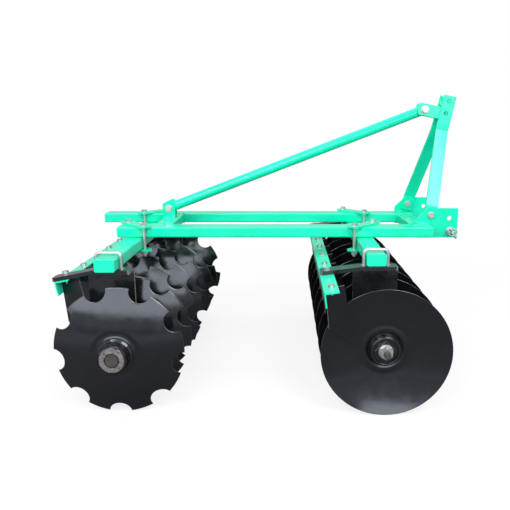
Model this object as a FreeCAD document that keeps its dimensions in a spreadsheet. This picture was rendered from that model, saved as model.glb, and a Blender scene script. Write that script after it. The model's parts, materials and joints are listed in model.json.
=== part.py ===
"""Mounted disc harrow with a plain front gang and a notched rear gang.

A parametric FreeCAD document in millimetres. +X points forward, +Y to the left and +Z up. The origin
is on the ground, under the middle of the whole machine.
"""
import FreeCAD, Part
import math
import os
import Sketcher
from FreeCAD import Placement, Rotation, Vector

# The driving dimensions: name, value and meaning. Lengths are in millimetres, angles in degrees.
SIZES = [
    ("disc_diameter", 460, "outside of a disc"),
    ("disc_thickness", 3.5, "sheet of a disc"),
    ("disc_dish", 45, "depth of a disc from rim to flat centre"),
    ("disc_flat", 144, "flat centre of a disc, across"),
    ("disc_pitch", 170, "from one disc to the next along the shaft"),
    ("notch_count", 9, "notches round a rear disc"),
    ("notch_radius", 40, "round notch"),
    ("notch_setout", 2, "centre of a notch beyond the rim"),
    ("front_axle_x", 409.5, "front gang shaft, forward of the origin"),
    ("rear_axle_x", -526.5, "rear gang shaft, forward of the origin"),
    ("gang_stagger", 31, "front gang to the left and rear gang to the right of the middle"),
    ("hanger_height", 285, "from the shaft's centre up to the underside of the gang beam"),
    ("shaft_side", 28, "square gang shaft"),
    ("shaft_play", 0.5, "width of a square hole over the shaft"),
    ("main_beam_width", 90, "main beam tube, across"),
    ("main_beam_height", 42, "main beam and cross member tubes, upright"),
    ("main_beam_wall", 4, "wall of the main beams and cross members"),
    ("main_beam_front_x", 657.5, "front ends of the main beams"),
    ("right_beam_length", 1281, "right main beam with its end plates"),
    ("left_beam_length", 1446, "left main beam with its end plates"),
    ("main_beam_spacing", 398, "between the centres of the main beams"),
    ("frame_shift", 65, "middle of the frame to the left of the gangs' middle"),
    ("end_plate", 4, "plates that close the tubes"),
    ("cross_width", 70, "cross member tube, fore and aft"),
    ("front_cross_back", 43, "centre of the front cross member behind the beams' front ends"),
    ("rear_cross_ahead", 75, "centre of the rear cross member ahead of the rear shaft"),
    ("gang_beam_width", 71, "gang beam tube, fore and aft"),
    ("gang_beam_height", 45, "gang beam tube, upright"),
    ("gang_beam_wall", 4, "wall of the gang beams"),
    ("gang_beam_back", 28.5, "centre of a gang beam behind its shaft"),
    ("gang_beam_nut_inset", 61, "gang beam's end inside the disc at the nut"),
    ("gang_beam_head_inset", 29, "gang beam's end inside the disc at the head"),
    ("hitch_plate", 12, "thickness of the hitch plates"),
    ("hitch_reach", 120, "hitch plates ahead of the beams"),
    ("hitch_tail", 52, "hitch plates along the beams"),
    ("hitch_rise", 65, "hitch plates above the beams"),
    ("hitch_drop", 16, "hitch plates below the beams"),
    ("hitch_chamfer", 45, "cut upper rear corner of a hitch plate"),
    ("left_hitch_back", 20, "left plate's rear edge and holes further back than the right plate's"),
    ("link_pin_radius", 11, "lower link pin"),
    ("link_pin_reach", 89, "lower link pins ahead of the beams"),
    ("link_pin_drop", 30, "lower link pins below the tops of the beams"),
    ("link_pin_length", 62, "lower link pin outside its plate"),
    ("link_collar_radius", 18, "welded collar of a lower link pin"),
    ("link_collar", 8, "length of that collar"),
    ("link_nut_across", 32, "hexagon behind a lower link pin"),
    ("link_nut", 16, "length of that hexagon"),
    ("chain_hole_radius", 10, "spare hole in a hitch plate"),
    ("chain_hole_reach", 86, "spare hole ahead of the beams"),
    ("chain_hole_rise", 23, "spare hole above the beams"),
    ("mast_bar_width", 52, "mast bar, across its flat"),
    ("mast_bar", 12, "thickness of a mast bar"),
    ("mast_gap", 56, "between the mast bars at the top"),
    ("mast_foot_reach", 6, "right mast foot bolt ahead of the beams"),
    ("mast_foot_rise", 37, "mast foot bolts above the beams"),
    ("mast_foot_tail", 30, "mast bar below its foot bolt"),
    ("mast_top_reach", 105, "top of the mast ahead of the beams"),
    ("mast_top_rise", 524, "top of the mast above the beams"),
    ("mast_low_bend", 36, "lower bend above the foot bolt, along the bar"),
    ("mast_high_bend", 150, "upper bend below the top, along the bar"),
    ("top_hole_radius", 9.75, "upper link hole"),
    ("top_hole_rise", 502, "upper link hole above the beams"),
    ("top_hole_reach", 98, "upper link hole ahead of the beams"),
    ("second_hole_down", 51, "second upper link hole below the first"),
    ("second_hole_back", 10, "second upper link hole behind the first"),
    ("bolt_radius", 8, "frame bolts"),
    ("bolt_play", 0.5, "radius of a bolt hole over its bolt"),
    ("bolt_head_across", 24, "frame bolt head and nut, across flats"),
    ("bolt_head", 10, "height of a frame bolt head"),
    ("bolt_nut", 13, "height of a frame nut"),
    ("lug_thickness", 6, "brace lugs"),
    ("mast_lug_height", 50, "brace lug on the mast, across"),
    ("mast_lug_tail", 30, "brace lug behind its bolt"),
    ("mast_lug_nose", 73, "brace lug ahead of its bolt"),
    ("mast_clevis_reach", 1, "front brace bolt ahead of the beams' front ends"),
    ("mast_clevis_rise", 468, "front brace bolt above the beams"),
    ("rear_clevis_back", 10, "rear brace bolt behind the middle of the rear cross member"),
    ("rear_clevis_rise", 41, "rear brace bolt above the beams"),
    ("rear_lug_width", 54, "rear brace lug, fore and aft"),
    ("rear_lug_low", 62, "rear brace lug at its rear edge"),
    ("rear_lug_high", 80, "rear brace lug at its peak"),
    ("brace_radius", 21, "brace tube"),
    ("brace_wall", 3.5, "wall of the brace tube"),
    ("brace_end", 22, "brace tube past its bolts"),
    ("clamp_bolt_radius", 7, "bolts that clamp the gang beams"),
    ("clamp_bolt_play", 2, "between a clamp bolt and the tube beside it"),
    ("clamp_strap_width", 48, "clamp straps, across"),
    ("clamp_strap", 8, "thickness of the clamp straps"),
    ("clamp_strap_end", 24, "clamp strap past its bolt"),
    ("clamp_bolt_tail", 22, "clamp bolt below the lower strap"),
    ("arm_width", 60, "hanger arm, across"),
    ("arm_thickness", 14, "hanger arm"),
    ("arm_front", 48, "hanger arm ahead of the shaft"),
    ("arm_knee", 84, "knee of the hanger arm behind the shaft"),
    ("front_arm_rear", 228, "end of the front hanger arm behind the shaft"),
    ("rear_arm_rear", 221, "end of the rear hanger arm behind the shaft"),
    ("front_arm_droop", 18, "front hanger arm's end below its flat part"),
    ("rear_arm_droop", 27, "rear hanger arm's end below its flat part"),
    ("hanger_plate", 12, "upright hanger plate"),
    ("hanger_inset", 17, "middle of the upright plate towards the gang's middle, from its bearing"),
    ("hanger_front", 54, "upright hanger plate ahead of the shaft"),
    ("hanger_rear", 107, "upright hanger plate behind the shaft"),
    ("hanger_waist", 150, "where the upright plate starts to narrow, above the shaft"),
    ("hanger_foot", 66, "half width of the upright plate's foot"),
    ("bearing_radius", 50, "bearing housing in the hanger plate"),
    ("bearing_flange_radius", 62, "flange of the bearing housing"),
    ("bearing_flange", 8, "thickness of that flange"),
    ("bearing_length", 50, "bearing housing along the shaft"),
    ("journal_radius", 30, "bearing journal of the half spools"),
    ("journal_play", 0.1, "radial gap round the journal"),
    ("u_bolt_radius", 6, "U-bolt of a hanger"),
    ("u_bolt_bend", 14, "bend of a U-bolt at its middle line"),
    ("u_bolt_side", 1.5, "between a U-bolt's legs and the gang beam"),
    ("u_bolt_over", 6, "between a U-bolt and the top of the gang beam"),
    ("u_bolt_tail", 16, "U-bolt below the hanger arm"),
    ("angle_leg", 50, "leg of the scraper bar's angle iron"),
    ("angle_wall", 5, "wall of the scraper bar"),
    ("front_bar_back", 229, "front scraper bar's rear edge behind the shaft"),
    ("rear_bar_back", 211, "rear scraper bar's rear edge behind the shaft"),
    ("bar_margin", 65, "scraper bar past its outer scraper bolts"),
    ("scraper_lead", 115, "scraper bolt from the disc's flat centre, on its hollow side"),
    ("scraper_plate", 5, "scraper blade and tab"),
    ("scraper_tab_width", 40, "scraper tab, along the bar"),
    ("front_scraper_yaw", 26, "front scraper blade turned from the disc's plane"),
    ("rear_scraper_yaw", 15, "rear scraper blade turned from the disc's plane"),
    ("scraper_tilt", 11.5, "scraper blade's foot turned towards the disc"),
    ("blade_width", 71, "top of the scraper blade"),
    ("blade_forward", 13, "scraper blade's middle ahead of its bolt"),
    ("front_blade_taper", 11, "lower end of a front blade's rear edge ahead of its top"),
    ("rear_blade_taper", 5, "lower end of a rear blade's rear edge ahead of its top"),
    ("blade_rear_drop", 148, "short edge of the scraper blade"),
    ("blade_point_drop", 224, "point of the scraper blade below its top"),
    ("blade_point_out", 32, "point of the scraper blade ahead of its top corner"),
    ("spool_flange_radius", 58, "ends of a spool"),
    ("spool_flange", 7, "thickness of a spool's end"),
    ("spool_radius", 37, "waist of a spool"),
    ("spool_flare", 34, "flared length at each end of a spool"),
    ("shoulder_gap", 6.25, "between a bearing housing and the shoulders of its half spools"),
    ("bell_radius", 62, "end bell at the disc"),
    ("bell_top_radius", 53, "end bell at its rim"),
    ("bell_length", 26, "end bell"),
    ("bell_recess_radius", 44, "recess of the end bell round the square washer"),
    ("bell_recess", 9, "depth of that recess"),
    ("washer_side", 55, "square washer"),
    ("washer_thickness", 7, "square washer"),
    ("nut_across", 41, "shaft nut, across flats"),
    ("nut_height", 24, "shaft nut"),
    ("thread_radius", 12, "threaded end of a shaft"),
    ("thread_end", 76, "tip of the thread from the outer face of the end disc"),
    ("cap_length", 52, "end cap at the shaft's head"),
    ("cap_radius", 53, "round body of the end cap"),
    ("cap_top_radius", 42, "end cap at its outer face"),
    ("cap_shoulder", 11, "sloping shoulder of the end cap"),
    ("head_radius", 23, "round head of a shaft"),
    ("head_stand", 2, "shaft head outside its cap"),
]
DISCS = 8

# How many quarter turns each rear disc is set round its square shaft, from the nut to the head.
REAR_DISC_QUARTERS = (2, 0, 3, 1, 0, 2, 1, 0)
NOTCH_PHASE = 111.5


class Size:
    """A length or an angle that knows its value and its formula over the sheet's cells."""

    def __init__(self, value, formula):
        self.value = float(value)
        self.formula = formula

    @staticmethod
    def of(thing):
        return thing if isinstance(thing, Size) else Size(thing, repr(float(thing)))

    def __add__(self, other):
        other = Size.of(other)
        return Size(self.value + other.value, f"({self.formula} + {other.formula})")

    def __radd__(self, other):
        return Size.of(other) + self

    def __sub__(self, other):
        other = Size.of(other)
        return Size(self.value - other.value, f"({self.formula} - {other.formula})")

    def __rsub__(self, other):
        return Size.of(other) - self

    def __mul__(self, other):
        other = Size.of(other)
        return Size(self.value * other.value, f"({self.formula} * {other.formula})")

    def __rmul__(self, other):
        return Size.of(other) * self

    def __truediv__(self, other):
        other = Size.of(other)
        return Size(self.value / other.value, f"({self.formula} / {other.formula})")

    def __neg__(self):
        return Size(-self.value, f"(-1 * {self.formula})")


class Sizes:
    """The spreadsheet's cells as attributes."""

    def __init__(self, sheet):
        for row, (alias, value, meaning) in enumerate(SIZES, start=1):
            sheet.set(f"A{row}", alias)
            sheet.set(f"B{row}", str(value))
            sheet.setAlias(f"B{row}", alias)
            sheet.set(f"C{row}", meaning)
            setattr(self, alias, Size(value, f"{sheet.Name}.{alias}"))


doc = FreeCAD.newDocument("DiscHarrow")
sheet = doc.addObject("Spreadsheet::Sheet", "Sizes")
s = Sizes(sheet)
doc.recompute()
NODES = []


# ---------------------------------------------------------------- small tools for making objects

def bind(thing, prop, size):
    """Tie a property to a formula over the sheet, or set it where it is a plain number."""
    size = Size.of(size)
    thing.setExpression(prop, size.formula)


def place(thing, at=(0, 0, 0), turn=Rotation()):
    """Put an object at a point whose coordinates are sizes, turned by a rotation."""
    at = [Size.of(part) for part in at]
    thing.Placement = Placement(Vector(*[part.value for part in at]), turn)
    for letter, part in zip("xyz", at):
        bind(thing, f"Placement.Base.{letter}", part)
    return thing


def node(name, thing):
    """Name a finished sub-part, which is written to a file of that name."""
    thing.Label = name
    NODES.append(thing)
    return thing


ALONG = {"X": Rotation(Vector(0, 0, 1), Vector(1, 0, 0)),
         "Y": Rotation(Vector(0, 0, 1), Vector(0, 1, 0)),
         "-Y": Rotation(Vector(0, 0, 1), Vector(0, -1, 0)),
         "Z": Rotation(),
         "-Z": Rotation(Vector(0, 0, 1), Vector(0, 0, -1))}


def box(length, width, height, at, turn=Rotation()):
    """A block with its lowest corner at a point."""
    thing = doc.addObject("Part::Box", "block")
    bind(thing, "Length", length)
    bind(thing, "Width", width)
    bind(thing, "Height", height)
    return place(thing, at, turn)


def rod(radius, length, at, along="Z"):
    """A round bar from a point in one of the named directions."""
    thing = doc.addObject("Part::Cylinder", "rod")
    bind(thing, "Radius", radius)
    bind(thing, "Height", length)
    return place(thing, at, ALONG[along])


def hexagon(across, length, at, along="Z"):
    """A hexagonal bar, given its width across flats."""
    thing = doc.addObject("Part::Prism", "hexagon")
    thing.Polygon = 6
    bind(thing, "Circumradius", across / math.sqrt(3))
    bind(thing, "Height", length)
    return place(thing, at, ALONG[along])


def cut(base, *tools):
    """The base with each tool taken away."""
    for tool in tools:
        result = doc.addObject("Part::Cut", "cut")
        result.Base = base
        result.Tool = tool
        base = result
    return base


def fuse(*parts):
    """One solid from parts that meet."""
    result = doc.addObject("Part::MultiFuse", "joined")
    result.Shapes = list(parts)
    result.Refine = True
    return result


def group(parts):
    """Separate solids that share one sub-part."""
    result = doc.addObject("Part::Compound", "set")
    result.Links = list(parts)
    return result


def copy_of(thing, at, turn=Rotation()):
    """A linked copy of an object, at another place."""
    link = doc.addObject("App::Link", "copy")
    link.LinkedObject = thing
    return place(link, at, turn)


def sketch_in(body, role):
    """A new sketch on one of the body's own planes."""
    sketch = body.newObject("Sketcher::SketchObject", "outline")
    plane = [feature for feature in body.Origin.OriginFeatures if feature.Role == role][0]
    sketch.AttachmentSupport = [(plane, "")]
    sketch.MapMode = "FlatFace"
    return sketch


def pin_point(sketch, edge, end, point):
    """Hold one end of a sketch edge at two sizes from the sketch's origin."""
    for kind, size in zip(("DistanceX", "DistanceY"), point):
        size = Size.of(size)
        name = f"{kind}_{edge}_{end}"
        index = sketch.addConstraint(Sketcher.Constraint(kind, -1, 1, edge, end, size.value))
        sketch.renameConstraint(index, name)
        bind(sketch, f"Constraints.{name}", size)


def draw_outline(sketch, points):
    """A closed outline of straight lines through points given by sizes."""
    spots = [Vector(Size.of(u).value, Size.of(v).value, 0) for u, v in points]
    count = len(points)
    for i in range(count):
        sketch.addGeometry(Part.LineSegment(spots[i], spots[(i + 1) % count]), False)
    for i in range(count):
        sketch.addConstraint(Sketcher.Constraint("Coincident", i, 2, (i + 1) % count, 1))
    for i, point in enumerate(points):
        pin_point(sketch, i, 1, point)


def draw_hole(sketch, centre, radius):
    """A round hole in a sketch."""
    spot = Vector(Size.of(centre[0]).value, Size.of(centre[1]).value, 0)
    edge = sketch.addGeometry(Part.Circle(spot, Vector(0, 0, 1), radius.value), False)
    index = sketch.addConstraint(Sketcher.Constraint("Radius", edge, radius.value))
    sketch.renameConstraint(index, f"Radius_{edge}")
    bind(sketch, f"Constraints.Radius_{edge}", radius)
    pin_point(sketch, edge, 3, centre)


def plate(role, points, thickness, at=(0, 0, 0), turn=Rotation(), holes=()):
    """A flat piece, half its thickness each side of one of the origin planes of its body."""
    body = doc.addObject("PartDesign::Body", "plate")
    sketch = sketch_in(body, role)
    draw_outline(sketch, points)
    for centre, radius in holes:
        draw_hole(sketch, centre, radius)
    pad = body.newObject("PartDesign::Pad", "pad")
    pad.Profile = sketch
    pad.SideType = "Symmetric"
    bind(pad, "Length", thickness)
    return place(body, at, turn)


def turned(points, at, turn=Rotation()):
    """A round piece about the Y axis: points are (radius, distance along Y)."""
    body = doc.addObject("PartDesign::Body", "turned")
    sketch = sketch_in(body, "XY_Plane")
    draw_outline(sketch, points)
    spin = body.newObject("PartDesign::Revolution", "turning")
    spin.Profile = sketch
    spin.ReferenceAxis = (sketch, ["V_Axis"])
    spin.Angle = 360
    return place(body, at, turn)


def pocket_through(body, sketch):
    """Cut a sketch through the body both ways, and make sure that it took something away."""
    doc.recompute()
    before = body.Shape.Volume
    pocket = body.newObject("PartDesign::Pocket", "pocket")
    pocket.Profile = sketch
    pocket.Type = "ThroughAll"
    pocket.SideType = "Symmetric"
    doc.recompute()
    if not body.Shape.Volume < before:
        raise ValueError(f"a pocket of {body.Label} cut nothing")
    return pocket


def square_hole(body):
    """The square hole for the gang shaft, through a body turned about Y."""
    half = (s.shaft_side + s.shaft_play) / 2
    sketch = sketch_in(body, "XZ_Plane")
    draw_outline(sketch, [(-half, -half), (half, -half), (half, half), (-half, half)])
    return pocket_through(body, sketch)


def tube(along, length, width, height, wall, at):
    """A rectangular tube with open ends: along X or Y, its lowest corner at a point."""
    x, y, z = at
    if along == "X":
        inside = box(length, width - 2 * wall, height - 2 * wall, (x, y + wall, z + wall))
        return cut(box(length, width, height, at), inside)
    inside = box(width - 2 * wall, length, height - 2 * wall, (x + wall, y, z + wall))
    return cut(box(width, length, height, at), inside)


def bolt(at, along, grip, radius, across, head, nut, tail=4):
    """A hexagon bolt with its nut: at is where the head meets the first plate."""
    opposite = {"Y": "-Y", "-Y": "Y", "-Z": "Z"}[along]
    sign = -1 if along.startswith("-") else 1
    index = 1 if along.endswith("Y") else 2
    end = list(at)
    end[index] = at[index] + sign * grip
    return fuse(hexagon(across, head, at, opposite),
                rod(radius, grip + nut + tail, at, along),
                hexagon(across, nut, end, along))


# ---------------------------------------------------------------- levels and lines of the machine

disc_radius = s.disc_diameter / 2
axle_z = disc_radius
gang_beam_z = axle_z + s.hanger_height
gang_beam_top = gang_beam_z + s.gang_beam_height
beam_top = gang_beam_top + s.main_beam_height
gang_span = s.disc_pitch * (DISCS - 1)
hole_radius = s.bolt_radius + s.bolt_play

right_beam_y = s.frame_shift - s.main_beam_spacing / 2
left_beam_y = s.frame_shift + s.main_beam_spacing / 2
right_beam_inner = right_beam_y + s.main_beam_width / 2
left_beam_inner = left_beam_y - s.main_beam_width / 2
left_beam_outer = left_beam_y + s.main_beam_width / 2
right_mast_face = right_beam_inner + s.hitch_plate
left_mast_face = left_beam_outer
mast_y = (right_mast_face + left_mast_face) / 2
rear_cross_x = s.rear_axle_x + s.rear_cross_ahead
front_cross_x = s.main_beam_front_x - s.front_cross_back


# ---------------------------------------------------------------- main frame

def main_beam(name, y, length):
    """A main beam and the two plates that close it."""
    low_y = y - s.main_beam_width / 2
    rear = s.main_beam_front_x - length
    node(name, tube("X", length - 2 * s.end_plate, s.main_beam_width, s.main_beam_height,
                    s.main_beam_wall, (rear + s.end_plate, low_y, gang_beam_top)))
    return [box(s.end_plate, s.main_beam_width, s.main_beam_height, (x, low_y, gang_beam_top))
            for x in (rear, s.main_beam_front_x - s.end_plate)]


def cross_member(name, x, right_end):
    """A tube that runs to the left main beam, flush with its top."""
    node(name, tube("Y", left_beam_inner - right_end, s.cross_width, s.main_beam_height,
                    s.main_beam_wall, (x - s.cross_width / 2, right_end, gang_beam_top)))


def hitch_side(name, plate_y, mast_side, setback):
    """A hitch plate: plate_y is its middle, mast_side the side of it where the mast stands."""
    front = s.main_beam_front_x + s.hitch_reach
    rear = s.main_beam_front_x - s.hitch_tail - setback
    top = beam_top + s.hitch_rise
    low = gang_beam_top - s.hitch_drop
    outline = [(rear, low), (front, low), (front, top), (rear + s.hitch_chamfer, top),
               (rear, top - s.hitch_chamfer)]
    pin = (s.main_beam_front_x + s.link_pin_reach, beam_top - s.link_pin_drop)
    spare = (s.main_beam_front_x + s.chain_hole_reach - setback, beam_top + s.chain_hole_rise)
    foot = (s.main_beam_front_x + s.mast_foot_reach - setback, beam_top + s.mast_foot_rise)
    holes = [(pin, s.link_pin_radius + s.bolt_play / 2), (spare, s.chain_hole_radius),
             (foot, hole_radius)]
    node(f"{name}_hitch_plate", plate("XZ_Plane", outline, s.hitch_plate, (0, plate_y, 0),
                                      holes=holes))
    return pin, foot


def link_pin(name, pin, plate_y, outward):
    """A lower link pin with its collar outside the plate and its hexagon inside."""
    away, back = ("-Y", "Y") if outward < 0 else ("Y", "-Y")
    face = plate_y + outward * s.hitch_plate / 2
    inner = plate_y - outward * s.hitch_plate / 2
    x, z = pin
    node(f"{name}_lower_link_pin", fuse(
        rod(s.link_pin_radius, s.hitch_plate + s.link_pin_length, (x, inner, z), away),
        rod(s.link_collar_radius, s.link_collar, (x, face, z), away),
        hexagon(s.link_nut_across, s.link_nut, (x, inner, z), back)))


def mast_bar(name, foot, foot_y, side):
    """A bent mast bar: foot_y is its foot's middle, side the way from the mast's middle to it."""
    top_x = s.main_beam_front_x + s.mast_top_reach
    top_z = beam_top + s.mast_top_rise
    run = top_x.value - foot[0].value
    rise = top_z.value - foot[1].value
    lean = math.degrees(math.atan2(run, rise))
    length = math.hypot(run, rise)
    top_y = mast_y + side * (s.mast_gap + s.mast_bar) / 2
    shift = top_y - foot_y
    half = s.mast_bar / 2
    high = length - s.mast_high_bend
    outline = [(-half, -s.mast_foot_tail), (half, -s.mast_foot_tail), (half, s.mast_low_bend),
               (shift + half, high), (shift + half, length), (shift - half, length),
               (shift - half, high), (-half, s.mast_low_bend)]
    bar = plate("YZ_Plane", outline, s.mast_bar_width, (foot[0], foot_y, foot[1]),
                Rotation(Vector(0, 1, 0), lean))
    start = top_y - s.mast_bar
    first = (s.main_beam_front_x + s.top_hole_reach, start, beam_top + s.top_hole_rise)
    second = (first[0] - s.second_hole_back, start, first[2] - s.second_hole_down)
    foot_start = (foot[0], foot_y - s.mast_bar, foot[1])
    node(f"{name}_mast_bar", cut(bar, rod(s.top_hole_radius, 2 * s.mast_bar, first, "Y"),
                                 rod(s.top_hole_radius, 2 * s.mast_bar, second, "Y"),
                                 rod(hole_radius, 2 * s.mast_bar, foot_start, "Y")))


def frame():
    """Beams, cross members, hitch plates, link pins and mast. Gives back the beams' end plates."""
    ends = main_beam("right_main_beam", right_beam_y, s.right_beam_length)
    ends += main_beam("left_main_beam", left_beam_y, s.left_beam_length)
    cross_member("front_cross_member", front_cross_x, right_mast_face)
    cross_member("rear_cross_member", rear_cross_x, right_beam_inner)

    right_plate_y = right_beam_inner + s.hitch_plate / 2
    left_plate_y = left_beam_outer + s.hitch_plate / 2
    right_pin, right_foot = hitch_side("right", right_plate_y, 1, 0)
    left_pin, left_foot = hitch_side("left", left_plate_y, -1, s.left_hitch_back)
    link_pin("right", right_pin, right_plate_y, -1)
    link_pin("left", left_pin, left_plate_y, 1)
    mast_bar("right", right_foot, right_mast_face + s.mast_bar / 2, -1)
    mast_bar("left", left_foot, left_mast_face - s.mast_bar / 2, 1)
    grip = s.hitch_plate + s.mast_bar
    size = (s.bolt_radius, s.bolt_head_across, s.bolt_head, s.bolt_nut)
    node("mast_foot_bolts", group([
        bolt((right_foot[0], right_beam_inner, right_foot[1]), "Y", grip, *size),
        bolt((left_foot[0], left_mast_face - s.mast_bar, left_foot[1]), "Y", grip, *size)]))
    return ends


# ---------------------------------------------------------------- brace

def brace():
    """The round brace from the mast down to the rear cross member, with its lugs and bolts."""
    front_x = s.main_beam_front_x + s.mast_clevis_reach
    front_z = beam_top + s.mast_clevis_rise
    rear_x = rear_cross_x - s.rear_clevis_back
    rear_z = beam_top + s.rear_clevis_rise
    lug_y = s.mast_gap / 2 - s.lug_thickness / 2
    lean = math.degrees(math.atan2(s.mast_top_reach.value - s.mast_foot_reach.value,
                                   s.mast_top_rise.value - s.mast_foot_rise.value))
    half = s.mast_lug_height / 2
    nip = s.mast_lug_height / 6
    outline = [(-s.mast_lug_tail + nip, -half), (s.mast_lug_nose, -half), (s.mast_lug_nose, half),
               (-s.mast_lug_tail + nip, half), (-s.mast_lug_tail, half - nip),
               (-s.mast_lug_tail, nip - half)]
    node("mast_brace_lugs", group([
        plate("XZ_Plane", outline, s.lug_thickness, (front_x, mast_y + side * lug_y, front_z),
              Rotation(Vector(0, 1, 0), lean), holes=[((0, 0), hole_radius)])
        for side in (-1, 1)]))

    rear_half = s.rear_lug_width / 2
    foot = -s.rear_clevis_rise
    outline = [(-rear_half, foot), (rear_half, foot), (rear_half, s.rear_lug_low - s.rear_clevis_rise),
               (rear_half / 4, s.rear_lug_high - s.rear_clevis_rise),
               (-rear_half, s.rear_lug_low - s.rear_clevis_rise)]
    node("rear_brace_lugs", group([
        plate("XZ_Plane", outline, s.lug_thickness, (rear_x, mast_y + side * lug_y, rear_z),
              holes=[((0, 0), hole_radius)])
        for side in (-1, 1)]))

    run = front_x.value - rear_x.value
    rise = front_z.value - rear_z.value
    slope = math.degrees(math.atan2(rise, run))
    length = math.hypot(run, rise)
    aim = Rotation(Vector(0, 1, 0), -slope)
    pipe = doc.addObject("Part::Cylinder", "pipe")
    bore = doc.addObject("Part::Cylinder", "bore")
    for thing, radius in ((pipe, s.brace_radius), (bore, s.brace_radius - s.brace_wall)):
        bind(thing, "Radius", radius)
        bind(thing, "Height", length + 2 * s.brace_end)
        place(thing, (-s.brace_end, 0, 0), ALONG["X"])
    cross_holes = [rod(hole_radius, 4 * s.brace_radius, (x, -2 * s.brace_radius, 0), "Y")
                   for x in (0, length)]
    tube_piece = cut(pipe, bore, *cross_holes)
    node("brace_tube", place(tube_piece, (rear_x, mast_y, rear_z), aim))

    first_face = mast_y - s.mast_gap / 2
    size = (s.bolt_radius, s.bolt_head_across, s.bolt_head, s.bolt_nut)
    node("brace_bolts", group([bolt((x, first_face, z), "Y", s.mast_gap, *size)
                               for x, z in ((front_x, front_z), (rear_x, rear_z))]))


# ---------------------------------------------------------------- clamps

def clamps():
    """The strap clamps where the gang beams cross under the main beams.

    Each has two bolts, at opposite corners of the crossing, and a strap over and under them.
    """
    reach_x = s.gang_beam_width / 2 + s.clamp_bolt_play + s.clamp_bolt_radius
    reach_y = s.main_beam_width / 2 + s.clamp_bolt_play + s.clamp_bolt_radius
    half_run = math.hypot(reach_x.value, reach_y.value)
    half_long = half_run + s.clamp_strap_end
    half_wide = s.clamp_strap_width / 2
    nip = half_wide / 3
    outline = [(-half_long, nip - half_wide), (nip - half_long, -half_wide),
               (half_long - nip, -half_wide), (half_long, nip - half_wide),
               (half_long, half_wide - nip), (half_long - nip, half_wide),
               (nip - half_long, half_wide), (-half_long, half_wide - nip)]
    holes = [((side * half_run, 0), s.clamp_bolt_radius + s.bolt_play) for side in (-1, 1)]
    turn = math.degrees(math.atan2(reach_y.value, reach_x.value))
    grip = beam_top - gang_beam_z + 2 * s.clamp_strap
    upper, lower, bolts = [], [], []
    # Columns: the gang's shaft, the main beam, and 1 where the bolts are front left and rear right.
    crossings = [(s.front_axle_x, right_beam_y, 1), (s.rear_axle_x, right_beam_y, -1),
                 (s.front_axle_x, left_beam_y, -1), (s.rear_axle_x, left_beam_y, 1)]
    for axle_x, beam_y, hand in crossings:
        x = axle_x - s.gang_beam_back
        aim = Rotation(Vector(0, 0, 1), hand * turn)
        upper.append(plate("XY_Plane", outline, s.clamp_strap, (x, beam_y, beam_top + s.clamp_strap / 2),
                           aim, holes))
        lower.append(plate("XY_Plane", outline, s.clamp_strap, (x, beam_y, gang_beam_z - s.clamp_strap / 2),
                           aim, holes))
        for side in (-1, 1):
            at = (x + side * reach_x, beam_y + hand * side * reach_y, beam_top + s.clamp_strap)
            bolts.append(bolt(at, "-Z", grip, s.clamp_bolt_radius, s.bolt_head_across, s.bolt_head,
                              s.bolt_nut, s.clamp_bolt_tail - s.bolt_nut))
    node("upper_clamp_straps", group(upper))
    node("lower_clamp_straps", group(lower))
    node("clamp_bolts", group(bolts))


# ---------------------------------------------------------------- gangs

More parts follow.
